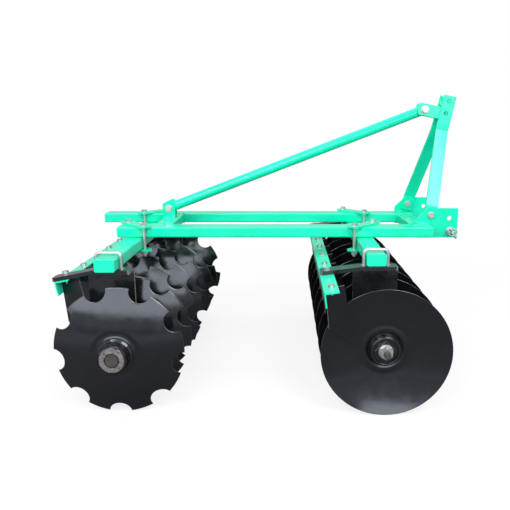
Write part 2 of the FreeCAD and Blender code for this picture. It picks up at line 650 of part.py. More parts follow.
class Gang:
    """One gang: where its shaft lies, and which way its nut points.

    Places along the shaft are measured from the flat centre of the disc at the nut. hand is 1 where
    the nut is on the right and -1 where it is on the left.
    """

    def __init__(self, name, axle_x, hand):
        self.name = name
        self.axle_x = axle_x
        self.hand = hand
        front = hand > 0
        self.arm_rear = s.front_arm_rear if front else s.rear_arm_rear
        self.droop = s.front_arm_droop if front else s.rear_arm_droop
        self.bar_back = s.front_bar_back if front else s.rear_bar_back
        self.scraper_yaw = s.front_scraper_yaw if front else s.rear_scraper_yaw
        self.blade_taper = s.front_blade_taper if front else s.rear_blade_taper
        self.middle = hand * s.gang_stagger

    def y(self, along):
        """The machine's Y of a place along the shaft."""
        return self.middle + self.hand * (along - gang_span / 2)

    def low_y(self, along, length):
        """The lower Y of a piece that starts at a place along the shaft."""
        return self.y(along) if self.hand > 0 else self.y(along + length)

    @property
    def turn(self):
        return Rotation(Vector(0, 0, 1), 0 if self.hand > 0 else 180)

    @property
    def away(self):
        """The direction from the nut to the head."""
        return "Y" if self.hand > 0 else "-Y"

    @property
    def bearings(self):
        """The two bearings, each midway between two discs: side, place and way to the middle."""
        middle = (s.disc_pitch - s.disc_thickness) / 2
        nut_side, head_side = ("right", "left") if self.hand > 0 else ("left", "right")
        return [(nut_side, middle, 1), (head_side, gang_span - s.disc_pitch + middle, -1)]

    def at_shaft(self, along):
        return (self.axle_x, self.y(along), axle_z)

    # -- pieces that hang from the frame

    def gang_beam(self):
        """The square-cut tube under the main beams, with the plates that close it."""
        length = gang_span - s.gang_beam_nut_inset - s.gang_beam_head_inset
        x = self.axle_x - s.gang_beam_back - s.gang_beam_width / 2
        low = self.low_y(s.gang_beam_nut_inset, length)
        node(f"{self.name}_gang_beam",
             tube("Y", length - 2 * s.end_plate, s.gang_beam_width, s.gang_beam_height,
                  s.gang_beam_wall, (x, low + s.end_plate, gang_beam_z)))
        return [box(s.gang_beam_width, s.end_plate, s.gang_beam_height, (x, y, gang_beam_z))
                for y in (low, low + length - s.end_plate)]

    def hanger(self, label, along, inward):
        """The arm under the gang beam, joined to the upright plate that carries the bearing."""
        drop = s.arm_thickness
        arm = plate("XZ_Plane", [
            (-self.arm_rear, s.hanger_height - self.droop - drop),
            (-s.arm_knee, s.hanger_height - drop), (s.arm_front, s.hanger_height - drop),
            (s.arm_front, s.hanger_height), (-s.arm_knee, s.hanger_height),
            (-self.arm_rear, s.hanger_height - self.droop)], s.arm_width, self.at_shaft(along))
        leg_x = self.u_bolt_legs()
        leg_holes = [rod(s.u_bolt_radius + s.bolt_play, 2 * s.arm_thickness,
                         (x, self.y(along), gang_beam_z - 1.5 * s.arm_thickness)) for x in leg_x]
        top = s.hanger_height - s.arm_thickness
        fall = self.droop / (self.arm_rear - s.arm_knee) * (s.hanger_rear - s.arm_knee)
        upright = plate("XZ_Plane", [
            (-s.hanger_foot, 0), (-s.hanger_foot / 2, -s.hanger_foot),
            (s.hanger_foot / 2, -s.hanger_foot), (s.hanger_foot, 0),
            (s.hanger_front, s.hanger_waist), (s.hanger_front, top), (-s.arm_knee, top),
            (-s.hanger_rear, top - fall), (-s.hanger_rear, s.hanger_waist)],
            s.hanger_plate, self.at_shaft(along + inward * s.hanger_inset),
            holes=[((0, 0), s.bearing_radius + s.bolt_play / 2)])
        node(f"{self.name}_{label}_hanger", fuse(cut(arm, *leg_holes), upright))

    def u_bolt_legs(self):
        """X of the two legs of a hanger's U-bolt."""
        half = s.gang_beam_width / 2 + s.u_bolt_side + s.u_bolt_radius
        middle = self.axle_x - s.gang_beam_back
        return middle - half, middle + half

    def u_bolt(self, along):
        """A round U-bolt over the gang beam with its nuts under the hanger arm."""
        rear, front = self.u_bolt_legs()
        y = self.y(along)
        over = gang_beam_top + s.u_bolt_over + s.u_bolt_radius
        leg_top = over - s.u_bolt_bend
        under = gang_beam_z - s.arm_thickness
        tail = under - s.u_bolt_tail
        parts = [rod(s.u_bolt_radius, leg_top - tail, (x, y, tail)) for x in (rear, front)]
        parts.append(rod(s.u_bolt_radius, front - rear - 2 * s.u_bolt_bend,
                         (rear + s.u_bolt_bend, y, over), "X"))
        upright = Rotation(Vector(1, 0, 0), 90)
        for x, swing in ((rear + s.u_bolt_bend, 90), (front - s.u_bolt_bend, 0)):
            bend = doc.addObject("Part::Torus", "bend")
            bind(bend, "Radius1", s.u_bolt_bend)
            bind(bend, "Radius2", s.u_bolt_radius)
            bend.Angle3 = 90
            place(bend, (x, y, leg_top), upright * Rotation(Vector(0, 0, 1), swing))
            parts.append(bend)
        across = 3 * s.u_bolt_radius
        parts += [hexagon(across, 0.6 * across, (x, y, under), "-Z") for x in (rear, front)]
        return fuse(*parts)

    def bearing(self, label, along, inward):
        """The bearing housing in the hanger plate, open for the journal of the half spools."""
        inner = s.journal_radius + s.journal_play
        half = s.bearing_length / 2
        face = s.hanger_inset - s.hanger_plate / 2
        back = face - s.bearing_flange
        points = [(inner, -half), (s.bearing_radius, -half), (s.bearing_radius, back),
                  (s.bearing_flange_radius, back), (s.bearing_flange_radius, face),
                  (s.bearing_radius, face), (s.bearing_radius, half), (inner, half)]
        turn = Rotation(Vector(0, 0, 1), 0 if self.hand * inward > 0 else 180)
        node(f"{self.name}_{label}_bearing", turned(points, self.at_shaft(along), turn))

    def bar_frame(self):
        """Where the scraper bar's upper rear edge lies under the arms, and the arms' slope there."""
        slope = math.atan2(self.droop.value, self.arm_rear.value - s.arm_knee.value)
        fall = self.droop / (self.arm_rear - s.arm_knee) * (self.bar_back - s.arm_knee)
        x = self.axle_x - self.bar_back
        z = gang_beam_z - s.arm_thickness - fall
        return x, z, Rotation(Vector(0, 1, 0), -math.degrees(slope))

    def scraper_bar(self):
        """The angle iron under the ends of the hanger arms."""
        x, z, slope = self.bar_frame()
        outline = [(0, 0), (0, -s.angle_leg), (s.angle_wall, -s.angle_leg),
                   (s.angle_wall, -s.angle_wall), (s.angle_leg, -s.angle_wall), (s.angle_leg, 0)]
        length = gang_span + 2 * s.bar_margin
        middle = gang_span / 2 - s.scraper_lead
        node(f"{self.name}_scraper_bar",
             plate("XZ_Plane", outline, length, (x, self.y(middle), z), slope))

    def scrapers(self):
        """A bent scraper for the hollow side of each disc, under the scraper bar."""
        x, z, slope = self.bar_frame()
        mid = s.angle_wall + (s.angle_leg - s.angle_wall) / 2
        under = -s.angle_wall
        half_plate = s.scraper_plate / 2
        tab_length = s.angle_leg - s.angle_wall - 1
        tab = box(tab_length, s.scraper_tab_width, s.scraper_plate,
                  (s.angle_wall + 1, -s.scraper_tab_width / 2, under - s.scraper_plate))
        near = s.blade_width / 2
        top = under - s.scraper_plate / 2
        outline = [(-near, 0), (self.blade_taper - near, -s.blade_rear_drop),
                   (near + s.blade_point_out, -s.blade_point_drop), (near, 0)]
        aim = Rotation(Vector(0, 0, 1), self.hand * self.scraper_yaw.value) * \
            Rotation(Vector(1, 0, 0), self.hand * s.scraper_tilt.value)
        blade = plate("XZ_Plane", outline, s.scraper_plate,
                      (mid + s.blade_forward, self.hand * s.scraper_tab_width / 2, top), aim)
        one = fuse(tab, blade)
        copies = [copy_of(one, (x, self.y(s.disc_pitch * k - s.scraper_lead), z), slope)
                  for k in range(DISCS)]
        node(f"{self.name}_scrapers", group(copies))

    # -- pieces that turn with the shaft

    def disc(self, number, notched):
        """A dished disc with a flat centre and a square hole, hollow towards the nut."""
        body = doc.addObject("PartDesign::Body", "disc")
        sketch = sketch_in(body, "XY_Plane")
        flat = s.disc_flat / 2
        reach = (disc_radius * disc_radius + s.disc_dish * s.disc_dish - flat * flat) / (2 * s.disc_dish)
        radius = math.hypot(reach.value, flat.value)
        rim_angle = math.atan2(reach.value - s.disc_dish.value, disc_radius.value)
        flat_angle = math.atan2(reach.value, flat.value)
        corners = [(0, 0), (flat, 0), (disc_radius, -s.disc_dish),
                   (disc_radius, -s.disc_dish - s.disc_thickness), (flat, -s.disc_thickness),
                   (0, -s.disc_thickness)]
        spots = [Vector(Size.of(u).value, Size.of(v).value, 0) for u, v in corners]
        for i in range(6):
            if i in (1, 3):
                centre = Vector(0, -reach.value - (s.disc_thickness.value if i == 3 else 0), 0)
                circle = Part.Circle(centre, Vector(0, 0, 1), radius)
                sketch.addGeometry(Part.ArcOfCircle(circle, rim_angle, flat_angle), False)
            else:
                sketch.addGeometry(Part.LineSegment(spots[i], spots[(i + 1) % 6]), False)
        # Edge ends that meet: an arc starts at the rim and ends at the flat centre.
        for first, end, second, start in ((0, 2, 1, 2), (1, 1, 2, 1), (2, 2, 3, 1), (3, 2, 4, 1),
                                          (4, 2, 5, 1), (5, 2, 0, 1)):
            sketch.addConstraint(Sketcher.Constraint("Coincident", first, end, second, start))
        for arc in (1, 3):
            sketch.addConstraint(Sketcher.Constraint("PointOnObject", arc, 3, -2))
        for edge, end, corner in ((0, 1, 0), (0, 2, 1), (2, 1, 2), (2, 2, 3), (4, 1, 4), (4, 2, 5)):
            pin_point(sketch, edge, end, corners[corner])
        spin = body.newObject("PartDesign::Revolution", "dish")
        spin.Profile = sketch
        spin.ReferenceAxis = (sketch, ["V_Axis"])
        spin.Angle = 360
        square_hole(body)
        if notched:
            self.notches(body, REAR_DISC_QUARTERS[number])
        node(f"{self.name}_disc_{number + 1}",
             place(body, self.at_shaft(s.disc_pitch * number), self.turn))

    def notches(self, body, quarters):
        """Round notches in a disc's rim, as the disc sits after some quarter turns on its shaft."""
        angle = math.radians(NOTCH_PHASE + 90 * quarters)
        out = disc_radius + s.notch_setout
        sketch = sketch_in(body, "XZ_Plane")
        draw_hole(sketch, (out * math.cos(angle), out * math.sin(angle)), s.notch_radius)
        notch = pocket_through(body, sketch)
        pattern = body.newObject("PartDesign::PolarPattern", "notches")
        pattern.Originals = [notch]
        pattern.Axis = (sketch, ["N_Axis"])
        pattern.Angle = 360
        bind(pattern, "Occurrences", s.notch_count)
        body.Tip = pattern

    def spools(self):
        """Cast spools between the discs, and half spools with a journal where a bearing sits."""
        inner = s.shaft_side / math.sqrt(2) + s.shaft_play
        length = s.disc_pitch - s.disc_thickness
        flare = s.spool_flange + s.spool_flare
        full = turned([(inner, 0), (s.spool_flange_radius, 0), (s.spool_flange_radius, s.spool_flange),
                       (s.spool_radius, flare), (s.spool_radius, length - flare),
                       (s.spool_flange_radius, length - s.spool_flange),
                       (s.spool_flange_radius, length), (inner, length)], (0, 0, 0))
        middle = length / 2 - s.journal_play / 2
        shoulder = length / 2 - s.bearing_length / 2 - s.shoulder_gap
        half = turned([(inner, 0), (s.spool_flange_radius, 0), (s.spool_flange_radius, s.spool_flange),
                       (s.spool_radius, flare), (s.spool_radius, shoulder),
                       (s.journal_radius, shoulder), (s.journal_radius, middle),
                       (inner, middle)], (0, 0, 0))
        back = Rotation(Vector(0, 0, 1), 180)
        fulls, halves = [], []
        for k in range(DISCS - 1):
            start = s.disc_pitch * k
            if k in (0, DISCS - 2):
                halves.append(copy_of(half, self.at_shaft(start), self.turn))
                halves.append(copy_of(half, self.at_shaft(start + length), self.turn * back))
            else:
                fulls.append(copy_of(full, self.at_shaft(start), self.turn))
        node(f"{self.name}_spools", group(fulls))
        node(f"{self.name}_bearing_spools", group(halves))

    def shaft(self):
        """The square shaft with its round head, end cap, end bell, washer and nut."""
        outer = s.disc_thickness
        bell_end = outer + s.bell_length
        seat = bell_end - s.bell_recess
        washer_end = seat + s.washer_thickness
        tip = outer + s.thread_end
        half = s.shaft_side / 2
        cap_end = gang_span + s.cap_length
        square = plate("XZ_Plane", [(-half, -half), (half, -half), (half, half), (-half, half)],
                       cap_end + washer_end, self.at_shaft((cap_end - washer_end) / 2))
        thread = rod(s.thread_radius, tip - washer_end, self.at_shaft(-tip), self.away)
        head = rod(s.head_radius, s.head_stand, self.at_shaft(cap_end), self.away)
        node(f"{self.name}_shaft", fuse(square, thread, head))

        inner = s.shaft_side / math.sqrt(2) + s.shaft_play
        bell = turned([(inner, -seat), (s.bell_recess_radius, -seat), (s.bell_recess_radius, -bell_end),
                       (s.bell_top_radius, -bell_end), (s.bell_radius, -outer), (inner, -outer)],
                      self.at_shaft(0), self.turn)
        cap = turned([(inner, gang_span), (s.bell_radius, gang_span),
                      (s.bell_radius, gang_span + s.spool_flange),
                      (s.cap_radius, gang_span + 2 * s.spool_flange),
                      (s.cap_radius, cap_end - s.cap_shoulder), (s.cap_top_radius, cap_end),
                      (inner, cap_end)], self.at_shaft(0), self.turn)
        node(f"{self.name}_end_castings", group([bell, cap]))

        side = s.washer_side / 2
        washer = plate("XZ_Plane", [(-side, -side), (side, -side), (side, side), (-side, side)],
                       s.washer_thickness, self.at_shaft(-(seat + washer_end) / 2),
                       Rotation(Vector(0, 1, 0), 45))
        clear = s.shaft_side + s.shaft_play
        hole = box(clear, 3 * s.washer_thickness, clear,
                   (self.axle_x - clear / 2, self.y(-(seat + washer_end) / 2) - 1.5 * s.washer_thickness,
                    axle_z - clear / 2))
        nut = cut(hexagon(s.nut_across, s.nut_height, self.at_shaft(-washer_end - s.nut_height), self.away),
                  rod(s.thread_radius + s.shaft_play / 2, 3 * s.nut_height,
                      self.at_shaft(-washer_end - 2 * s.nut_height), self.away))
        node(f"{self.name}_nut_and_washer", group([cut(washer, hole), nut]))

    def build(self, notched):
        ends = self.gang_beam()
        u_bolts = []
        for label, along, inward in self.bearings:
            self.hanger(label, along, inward)
            self.bearing(label, along, inward)
            u_bolts.append(self.u_bolt(along))
        self.scraper_bar()
        self.scrapers()
        for number in range(DISCS):
            self.disc(number, notched)
        self.spools()
        self.shaft()
        return ends, u_bolts


def check_objects():
    """Stop if any object failed to build, or a sub-part's shape isn't sound."""
    for thing in doc.Objects:
        if "Invalid" in thing.State or "Error" in thing.State:
            raise ValueError(f"{thing.Name} ({thing.Label}) failed: {thing.State}")
    for thing in NODES:
        shape = Part.getShape(thing)
        if shape.isNull() or not shape.isValid() or not shape.Solids:
            raise ValueError(f"{thing.Label} has no sound shape")


def main():
    beam_ends = frame()
    brace()
    clamps()
    front = Gang("front", s.front_axle_x, 1)
    rear = Gang("rear", s.rear_axle_x, -1)
    front_ends, front_u_bolts = front.build(notched=False)
    rear_ends, rear_u_bolts = rear.build(notched=True)
    node("tube_end_plates", group(beam_ends + front_ends + rear_ends))
    node("hanger_u_bolts", group(front_u_bolts + rear_u_bolts))
    doc.recompute()
    check_objects()
    os.makedirs("parts", exist_ok=True)
    for thing in NODES:
        Part.getShape(thing).exportStep(f"parts/{thing.Label}.step")


main()
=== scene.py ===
"""The looks of a mounted disc harrow: painted frame, black disc gangs and plated bolts, in a soft studio.

Lengths are in metres in the machine's frame: +X forward, +Y left, +Z up, with the ground at zero.
"""
import sys
import json
import logging
import math
import random
from dataclasses import dataclass, replace
from enum import Enum
from typing import Callable, ClassVar, Iterable, Sequence, Union

import bmesh
import bpy
from bpy.types import ID, Material, Mesh, Node, NodeTree, Object
from bpy.types import NodeSocket as Socket
from mathutils import Matrix, Vector

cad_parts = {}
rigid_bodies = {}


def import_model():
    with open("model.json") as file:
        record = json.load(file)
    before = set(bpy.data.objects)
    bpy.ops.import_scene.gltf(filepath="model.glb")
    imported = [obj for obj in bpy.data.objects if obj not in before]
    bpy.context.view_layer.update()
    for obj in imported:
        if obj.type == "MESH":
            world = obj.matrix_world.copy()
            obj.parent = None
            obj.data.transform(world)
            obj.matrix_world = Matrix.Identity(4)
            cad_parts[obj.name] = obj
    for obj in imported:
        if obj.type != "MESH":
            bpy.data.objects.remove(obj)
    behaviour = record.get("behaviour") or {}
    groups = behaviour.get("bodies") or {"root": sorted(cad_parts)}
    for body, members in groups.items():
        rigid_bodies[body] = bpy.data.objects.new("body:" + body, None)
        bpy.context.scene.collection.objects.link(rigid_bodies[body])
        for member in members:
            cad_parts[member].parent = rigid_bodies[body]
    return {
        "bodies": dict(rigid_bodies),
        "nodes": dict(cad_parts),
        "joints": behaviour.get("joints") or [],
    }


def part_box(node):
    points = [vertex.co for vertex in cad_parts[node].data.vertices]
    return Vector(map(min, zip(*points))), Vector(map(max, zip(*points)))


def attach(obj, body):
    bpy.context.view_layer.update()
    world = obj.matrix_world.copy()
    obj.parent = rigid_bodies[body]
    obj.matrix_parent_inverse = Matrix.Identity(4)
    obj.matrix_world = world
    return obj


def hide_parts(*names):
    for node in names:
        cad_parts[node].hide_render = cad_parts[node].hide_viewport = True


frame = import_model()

MM = 0.001
Ring = list[Vector]
Spot = tuple[float, float]
Colour = tuple[float, float, float]
Source = Union[Socket, float, Sequence[float]]
CHANCE = random.Random(7)
FRAME_BODY = "frame"
SHARP = math.radians(38)
log = logging.getLogger("harrow")


# ---- shapes

class Toward(Enum):
    """Named directions in the machine's frame."""

    FORWARD = (1, 0, 0)
    LEFT = (0, 1, 0)
    RIGHT = (0, -1, 0)
    DOWN = (0, 0, -1)

    @property
    def vector(self) -> Vector:
        """The direction as a unit vector."""
        return Vector(self.value)

    def matrix(self, at: Sequence[float]) -> Matrix:
        """The frame whose Z axis points this way, at a point. Its Y axis is up where that can be."""
        if self is Toward.DOWN:
            return Matrix.Translation(at) @ Matrix.Rotation(math.pi, 4, "X")
        return Matrix.Translation(at) @ self.vector.to_track_quat("Z", "Y").to_matrix().to_4x4()


@dataclass(frozen=True)
class Bounds:
    """The box of a CAD node."""

    low: Vector
    high: Vector

    @staticmethod
    def of(node: str) -> "Bounds":
        """Read a node's box from the frame."""
        return Bounds(*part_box(node))

    @property
    def centre(self) -> Vector:
        """The middle of the box."""
        return (self.low + self.high) / 2

    @property
    def size(self) -> Vector:
        """The box's three lengths."""
        return self.high - self.low

    def grown(self, x: float = 0, y: float = 0, z: float = 0) -> "Bounds":
        """A box larger by some length at both ends of each axis."""
        more = Vector((x, y, z))
        return Bounds(self.low - more, self.high + more)


def circle(radius: float, count: int, height: float = 0, phase: float = 0) -> Ring:
    """A ring of points about the Z axis."""
    steps = (phase + math.tau * i / count for i in range(count))
    return [Vector((radius * math.cos(a), radius * math.sin(a), height)) for a in steps]


def rounded(corners: Sequence[Spot], radius: float, steps: int = 4) -> list[Spot]:
    """Round the corners of a flat outline with arcs.

    Args:
        corners: the outline's corners, in order.
        radius: radius of each arc.
        steps: straight pieces in each arc.

    Returns:
        The outline with an arc in place of each corner.
    """
    result = []
    count = len(corners)
    for i in range(count):
        here = Vector(corners[i])
        before = (Vector(corners[i - 1]) - here).normalized()
        after = (Vector(corners[(i + 1) % count]) - here).normalized()
        half = before.angle(after) / 2
        if abs(half - math.pi / 2) < 0.01:
            result.append(tuple(here))
            continue
        reach = radius / math.tan(half)
        centre = here + (before + after).normalized() * radius / math.sin(half)
        start = here + before * reach - centre
        end = here + after * reach - centre
        swing = start.angle_signed(end)
        for k in range(steps + 1):
            turn = Matrix.Rotation(-swing * k / steps, 2)
            result.append(tuple(centre + turn @ start))
    return result


def rectangle(width: float, height: float, radius: float = 0) -> list[Spot]:
    """A rectangle about the origin, with its corners rounded if a radius is given."""
    w, h = width / 2, height / 2
    corners = [(-w, -h), (w, -h), (w, h), (-w, h)]
    return rounded(corners, radius) if radius else corners


def raised(height: float) -> Matrix:
    """A frame moved along its Z axis."""
    return Matrix.Translation((0, 0, height))


def once(things: Iterable) -> list:
    """Things in the order they come, each of them once."""
    return list(dict.fromkeys(things))


@dataclass(frozen=True)
class BentPath:
    """A bar's run with round bends: each bend is (its middle along the bar, its angle upwards)."""

    bends: tuple[tuple[float, float], ...]
    radius: float = 22 * MM

    def cuts(self, steps: int = 6) -> list[float]:
        """Places along the bar where its mesh needs an edge to bend."""
        result = []
        for middle, angle in self.bends:
            half = self.radius * abs(angle) / 2
            result += [middle + half * (2 * k / steps - 1) for k in range(steps + 1)]
        return result

    def at(self, along: float, above: float) -> Spot:
        """Where a point of the flat bar goes.

        Args:
            along: its distance along the bar.
            above: its height over the bar's middle.

        Returns:
            Its run and its rise.
        """
        x = z = heading = done = 0.0
        for middle, angle in self.bends:
            half = self.radius * abs(angle) / 2
            run = min(along, middle - half) - done
            x += run * math.cos(heading)
            z += run * math.sin(heading)
            done += run
            if along <= middle - half:
                break
            share = min(1.0, (along - done) / (2 * half))
            reach = math.copysign(self.radius, angle)
            x -= reach * math.sin(heading)
            z += reach * math.cos(heading)
            heading += angle * share
            x += reach * math.sin(heading)
            z -= reach * math.cos(heading)
            done += 2 * half * share
        x += (along - done) * math.cos(heading)
        z += (along - done) * math.sin(heading)
        return x - above * math.sin(heading), z + above * math.cos(heading)


@dataclass(frozen=True)
class Bolt:
    """The sizes of a bolt, its washers and its nut."""

    radius: float = 8 * MM
    across: float = 24 * MM
    head: float = 10 * MM
    nut: float = 13 * MM
    washer: float = 15 * MM
    sheet: float = 2.5 * MM
    tail: float = 5 * MM
    pitch: float = 2 * MM


class Solid:
    """A mesh under construction, made of closed shells in the machine's frame."""

    def __init__(self) -> None:
        """Start with an empty mesh."""
        self.mesh = bmesh.new()

    def _close(self, faces: list[bmesh.types.BMFace]) -> None:
        """Turn a closed shell's faces outwards."""
        bmesh.ops.recalc_face_normals(self.mesh, faces=faces)

    def loft(self, rings: Sequence[Ring], place: Matrix = Matrix(), capped: bool = True,
             looped: bool = False) -> list[list[bmesh.types.BMVert]]:
        """Join rings of equally many points into a closed shell.

        Args:
            rings: the rings, in order.
            place: the frame they are given in.
            capped: whether the first and last ring are filled.
            looped: whether the last ring joins the first.

        Returns:
            The vertices of each ring.
        """
        rows = [[self.mesh.verts.new(place @ p) for p in ring] for ring in rings]
        faces = []
        pairs = list(zip(rows, rows[1:]))
        if looped:
            pairs.append((rows[-1], rows[0]))
        for lower, upper in pairs:
            for i in range(len(lower)):
                j = (i + 1) % len(lower)
                faces.append(self.mesh.faces.new((lower[i], lower[j], upper[j], upper[i])))
        if capped and not looped:
            faces.append(self.mesh.faces.new(rows[0][::-1]))
            faces.append(self.mesh.faces.new(rows[-1]))
        self._close(faces)
        return rows

    def turned(self, profile: Sequence[Spot], place: Matrix, sides: int = 48, looped: bool = False) -> None:
        """Turn a profile of (radius, height) about the Z axis of a frame."""
        self.loft([circle(r, sides, h) for r, h in profile], place, looped=looped)

    def rod(self, radius: float, length: float, place: Matrix, sides: int = 32,
            chamfer: float = 0.8 * MM) -> None:
        """A round bar from the frame's origin along its Z axis, with chamfered ends."""
        small = radius - chamfer
        self.turned([(small, 0), (radius, chamfer), (radius, length - chamfer), (small, length)], place, sides)

    def prism(self, outline: Sequence[Spot], length: float, place: Matrix) -> None:
        """An outline in the XY plane of a frame, drawn out along its Z axis."""
        self.loft([[Vector((u, v, z)) for u, v in outline] for z in (0, length)], place)

    def plate(self, outline: Sequence[Spot], thickness: float, place: Matrix,
              holes: Sequence[tuple[float, float, float]] = ()) -> list[bmesh.types.BMVert]:
        """A flat plate with round holes, half its thickness each side of the frame's XY plane.

        Args:
            outline: the plate's outline.
            thickness: its thickness.
            place: the frame.
            holes: each hole's centre and radius.

        Returns:
            The new vertices, still in the plate's own frame if place is the identity.
        """
        loops = [list(outline)]
        for u, v, radius in holes:
            loops.append([(u + p.x, v + p.y) for p in circle(radius, 28)])
        sides = []
        for loop in loops:
            verts = [self.mesh.verts.new((u, v, -thickness / 2)) for u, v in loop]
            sides += zip(verts[-1:] + verts, verts)
        edges = [self.mesh.edges.new(side) for side in sides]
        filled = bmesh.ops.triangle_fill(self.mesh, edges=edges, use_beauty=True)
        faces = [f for f in filled["geom"] if isinstance(f, bmesh.types.BMFace)]
        over = {v: self.mesh.verts.new(v.co + Vector((0, 0, thickness))) for _, v in sides}
        faces += [self.mesh.faces.new([over[v] for v in f.verts]) for f in faces]
        faces += [self.mesh.faces.new((a, b, over[b], over[a])) for a, b in sides]
        verts = [*over, *over.values()]
        bmesh.ops.transform(self.mesh, matrix=place, verts=verts)
        self._close(faces)
        return verts

    def bent(self, outline: Sequence[Spot], thickness: float, holes: Sequence[tuple[float, float, float]],
             path: "BentPath", place: Matrix) -> None:
        """A flat bar bent along a path: the outline's first number runs along the path.

        Args:
            outline: the flat bar's outline.
            thickness: its thickness.
            holes: each hole's centre and radius.
            path: the bends.
            place: the frame, with its X axis along the bar.
        """
        verts = self.plate(outline, thickness, Matrix(), holes)
        for cut in path.cuts():
            faces = once(f for v in verts for f in v.link_faces)
            geometry = verts + once(e for f in faces for e in f.edges) + faces
            made = bmesh.ops.bisect_plane(self.mesh, geom=geometry, plane_co=(cut, 0, 0), plane_no=(1, 0, 0))
            verts = once(verts + [v for v in made["geom_cut"] if isinstance(v, bmesh.types.BMVert)])
        for v in verts:
            run, rise = path.at(v.co.x, v.co.z)
            v.co = place @ Vector((run, v.co.y, rise))

    def hexagon(self, across: float, height: float, place: Matrix, both: bool = False) -> None:
        """A hexagon with the rounded corners of a bolt head on top, or on both faces of a nut.

        Args:
            across: width across its flats.
            height: its height.
            place: the frame it stands on.
            both: whether the lower face is rounded too.
        """
        inner = across / 2
        count = 36
        hexed, drops = [], []
        for i in range(count):
            angle = math.tau * i / count
            reach = inner / math.cos((angle + math.pi / 6) % (math.pi / 3) - math.pi / 6)
            hexed.append((reach * math.cos(angle), reach * math.sin(angle)))
            drops.append((reach - inner) * 0.55)
        upper = [Vector((x, y, height - d)) for (x, y), d in zip(hexed, drops)]
        lower = [Vector((x, y, d if both else 0)) for (x, y), d in zip(hexed, drops)]
        rings = [lower, upper, circle(inner * 0.95, count, height)]
        if both:
            rings.insert(0, circle(inner * 0.95, count, 0))
        self.loft(rings, place)

    def thread(self, radius: float, length: float, pitch: float, place: Matrix, sides: int = 24) -> None:
        """A screw thread from the frame's origin along its Z axis.

        Args:
            radius: its outer radius.
            length: its length.
            pitch: from one turn to the next.
            place: the frame.
            sides: points once round.
        """
        rows = max(6, round(length / pitch * 4))
        rings = [circle(radius - pitch * 0.6, sides, 0)]
        for row in range(rows + 1):
            height = length * row / rows
            ring = circle(1, sides, height)
            for i, point in enumerate(ring):
                wave = abs((height / pitch - i / sides) % 1 * 2 - 1)
                easing = min(1.0, (length - height) / pitch)
                reach = radius - pitch * 0.6 * (1 - wave * easing)
                point.x *= reach
                point.y *= reach
            rings.append(ring)
        rings.append(circle(radius - pitch * 0.9, sides, length + pitch * 0.3))
        self.loft(rings, place)

    def washer(self, outer: float, inner: float, thickness: float, place: Matrix) -> None:
        """A flat ring from the frame's origin along its Z axis."""
        edge = 0.3 * MM
        self.turned([(inner, 0), (outer - edge, 0), (outer, edge), (outer, thickness - edge),
                     (outer - edge, thickness), (inner, thickness)], place, looped=True)

    def sweep(self, path: Sequence[Vector], section: Sequence[Spot], looped: bool = False) -> None:
        """Draw a section along a path without twisting it.

        Args:
            path: points along the path.
            section: the section's outline.
            looped: whether the path's end joins its start.
        """
        count = len(path)
        rings = []
        side = None
        for i, point in enumerate(path):
            before = path[i - 1] if looped or i else point
            after = path[(i + 1) % count] if looped or i < count - 1 else point
            along = (after - before).normalized()
            if side is None:
                side = along.orthogonal().normalized()
            side = (side - along * side.dot(along)).normalized()
            up = along.cross(side)
            rings.append([point + side * u + up * v for u, v in section])
        self.loft(rings, capped=not looped, looped=looped)

    def bolt(self, place: Matrix, fit: "Bolt", grip: float) -> None:
        """A bolt with its washers and nut.

        Args:
            place: frame at the outer face under the head, with its Z axis into the work.
            fit: the bolt's sizes.
            grip: thickness between the washers.
        """
        under = place @ Matrix.Rotation(math.pi, 4, "X")
        nut = place @ raised(grip)
        self.washer(fit.washer, fit.radius, fit.sheet, under)
        self.hexagon(fit.across, fit.head, under @ raised(fit.sheet))
        self.washer(fit.washer, fit.radius, fit.sheet, nut)
        self.hexagon(fit.across, fit.nut, nut @ raised(fit.sheet), both=True)
        self.rod(fit.radius * 0.97, grip + fit.sheet, place, 20)
        self.thread(fit.radius, fit.nut + fit.tail, fit.pitch, nut @ raised(fit.sheet))

    def piece(self, name: str, finish: "Finish", *nodes: str, body: str = FRAME_BODY, edge: float = 0,
              segments: int = 2) -> None:
        """Finish the mesh, fix it to its body, and hide the CAD nodes it stands for."""
        settle(self.shape(name, finish, edge, segments), body, finish.slot, *nodes)

    def shape(self, name: str, finish: "Finish", edge: float = 0, segments: int = 2) -> Object:
        """Finish the mesh as an object of one material, with softened edges and even normals.

        Args:
            name: the piece's name.
            finish: its finish.
            edge: width of the softened edges, or 0 for none.
            segments: faces across each softened edge.

        Returns:
            The object, at the origin.
        """
        data = bpy.data.meshes.new(name)
        bmesh.ops.remove_doubles(self.mesh, verts=self.mesh.verts, dist=1e-7)
        self.mesh.to_mesh(data)
        self.mesh.free()
        data.polygons.foreach_set("use_smooth", [True] * len(data.polygons))
        data.set_sharp_from_angle(angle=SHARP)
        thing = placed(name, data)
        if edge:
            soft = thing.modifiers.new("soft edges", "BEVEL")
            soft.width = edge
            soft.segments = segments
            soft.limit_method = "ANGLE"
            soft.angle_limit = SHARP
        even = thing.modifiers.new("even normals", "WEIGHTED_NORMAL")
        even.keep_sharp = True
        baked = bake(thing)
        baked.data.materials.clear()
        baked.data.materials.append(finish.material())
        return baked


def placed(name: str, data: ID) -> Object:
    """Put a new object with a mesh, lamp or camera of its own in the scene."""
    thing = bpy.data.objects.new(name, data)
    bpy.context.scene.collection.objects.link(thing)
    return thing


def bake(thing: Object) -> Object:
    """Turn an object's modifiers into a plain mesh and drop them.

    Args:
        thing: the object.

    Returns:
        The same object, with its finished mesh.
    """
    evaluated = thing.evaluated_get(bpy.context.evaluated_depsgraph_get())
    data = bpy.data.meshes.new_from_object(evaluated)
    data.name = thing.name
    thing.modifiers.clear()
    thing.data = data
    return thing


# ---- node trees

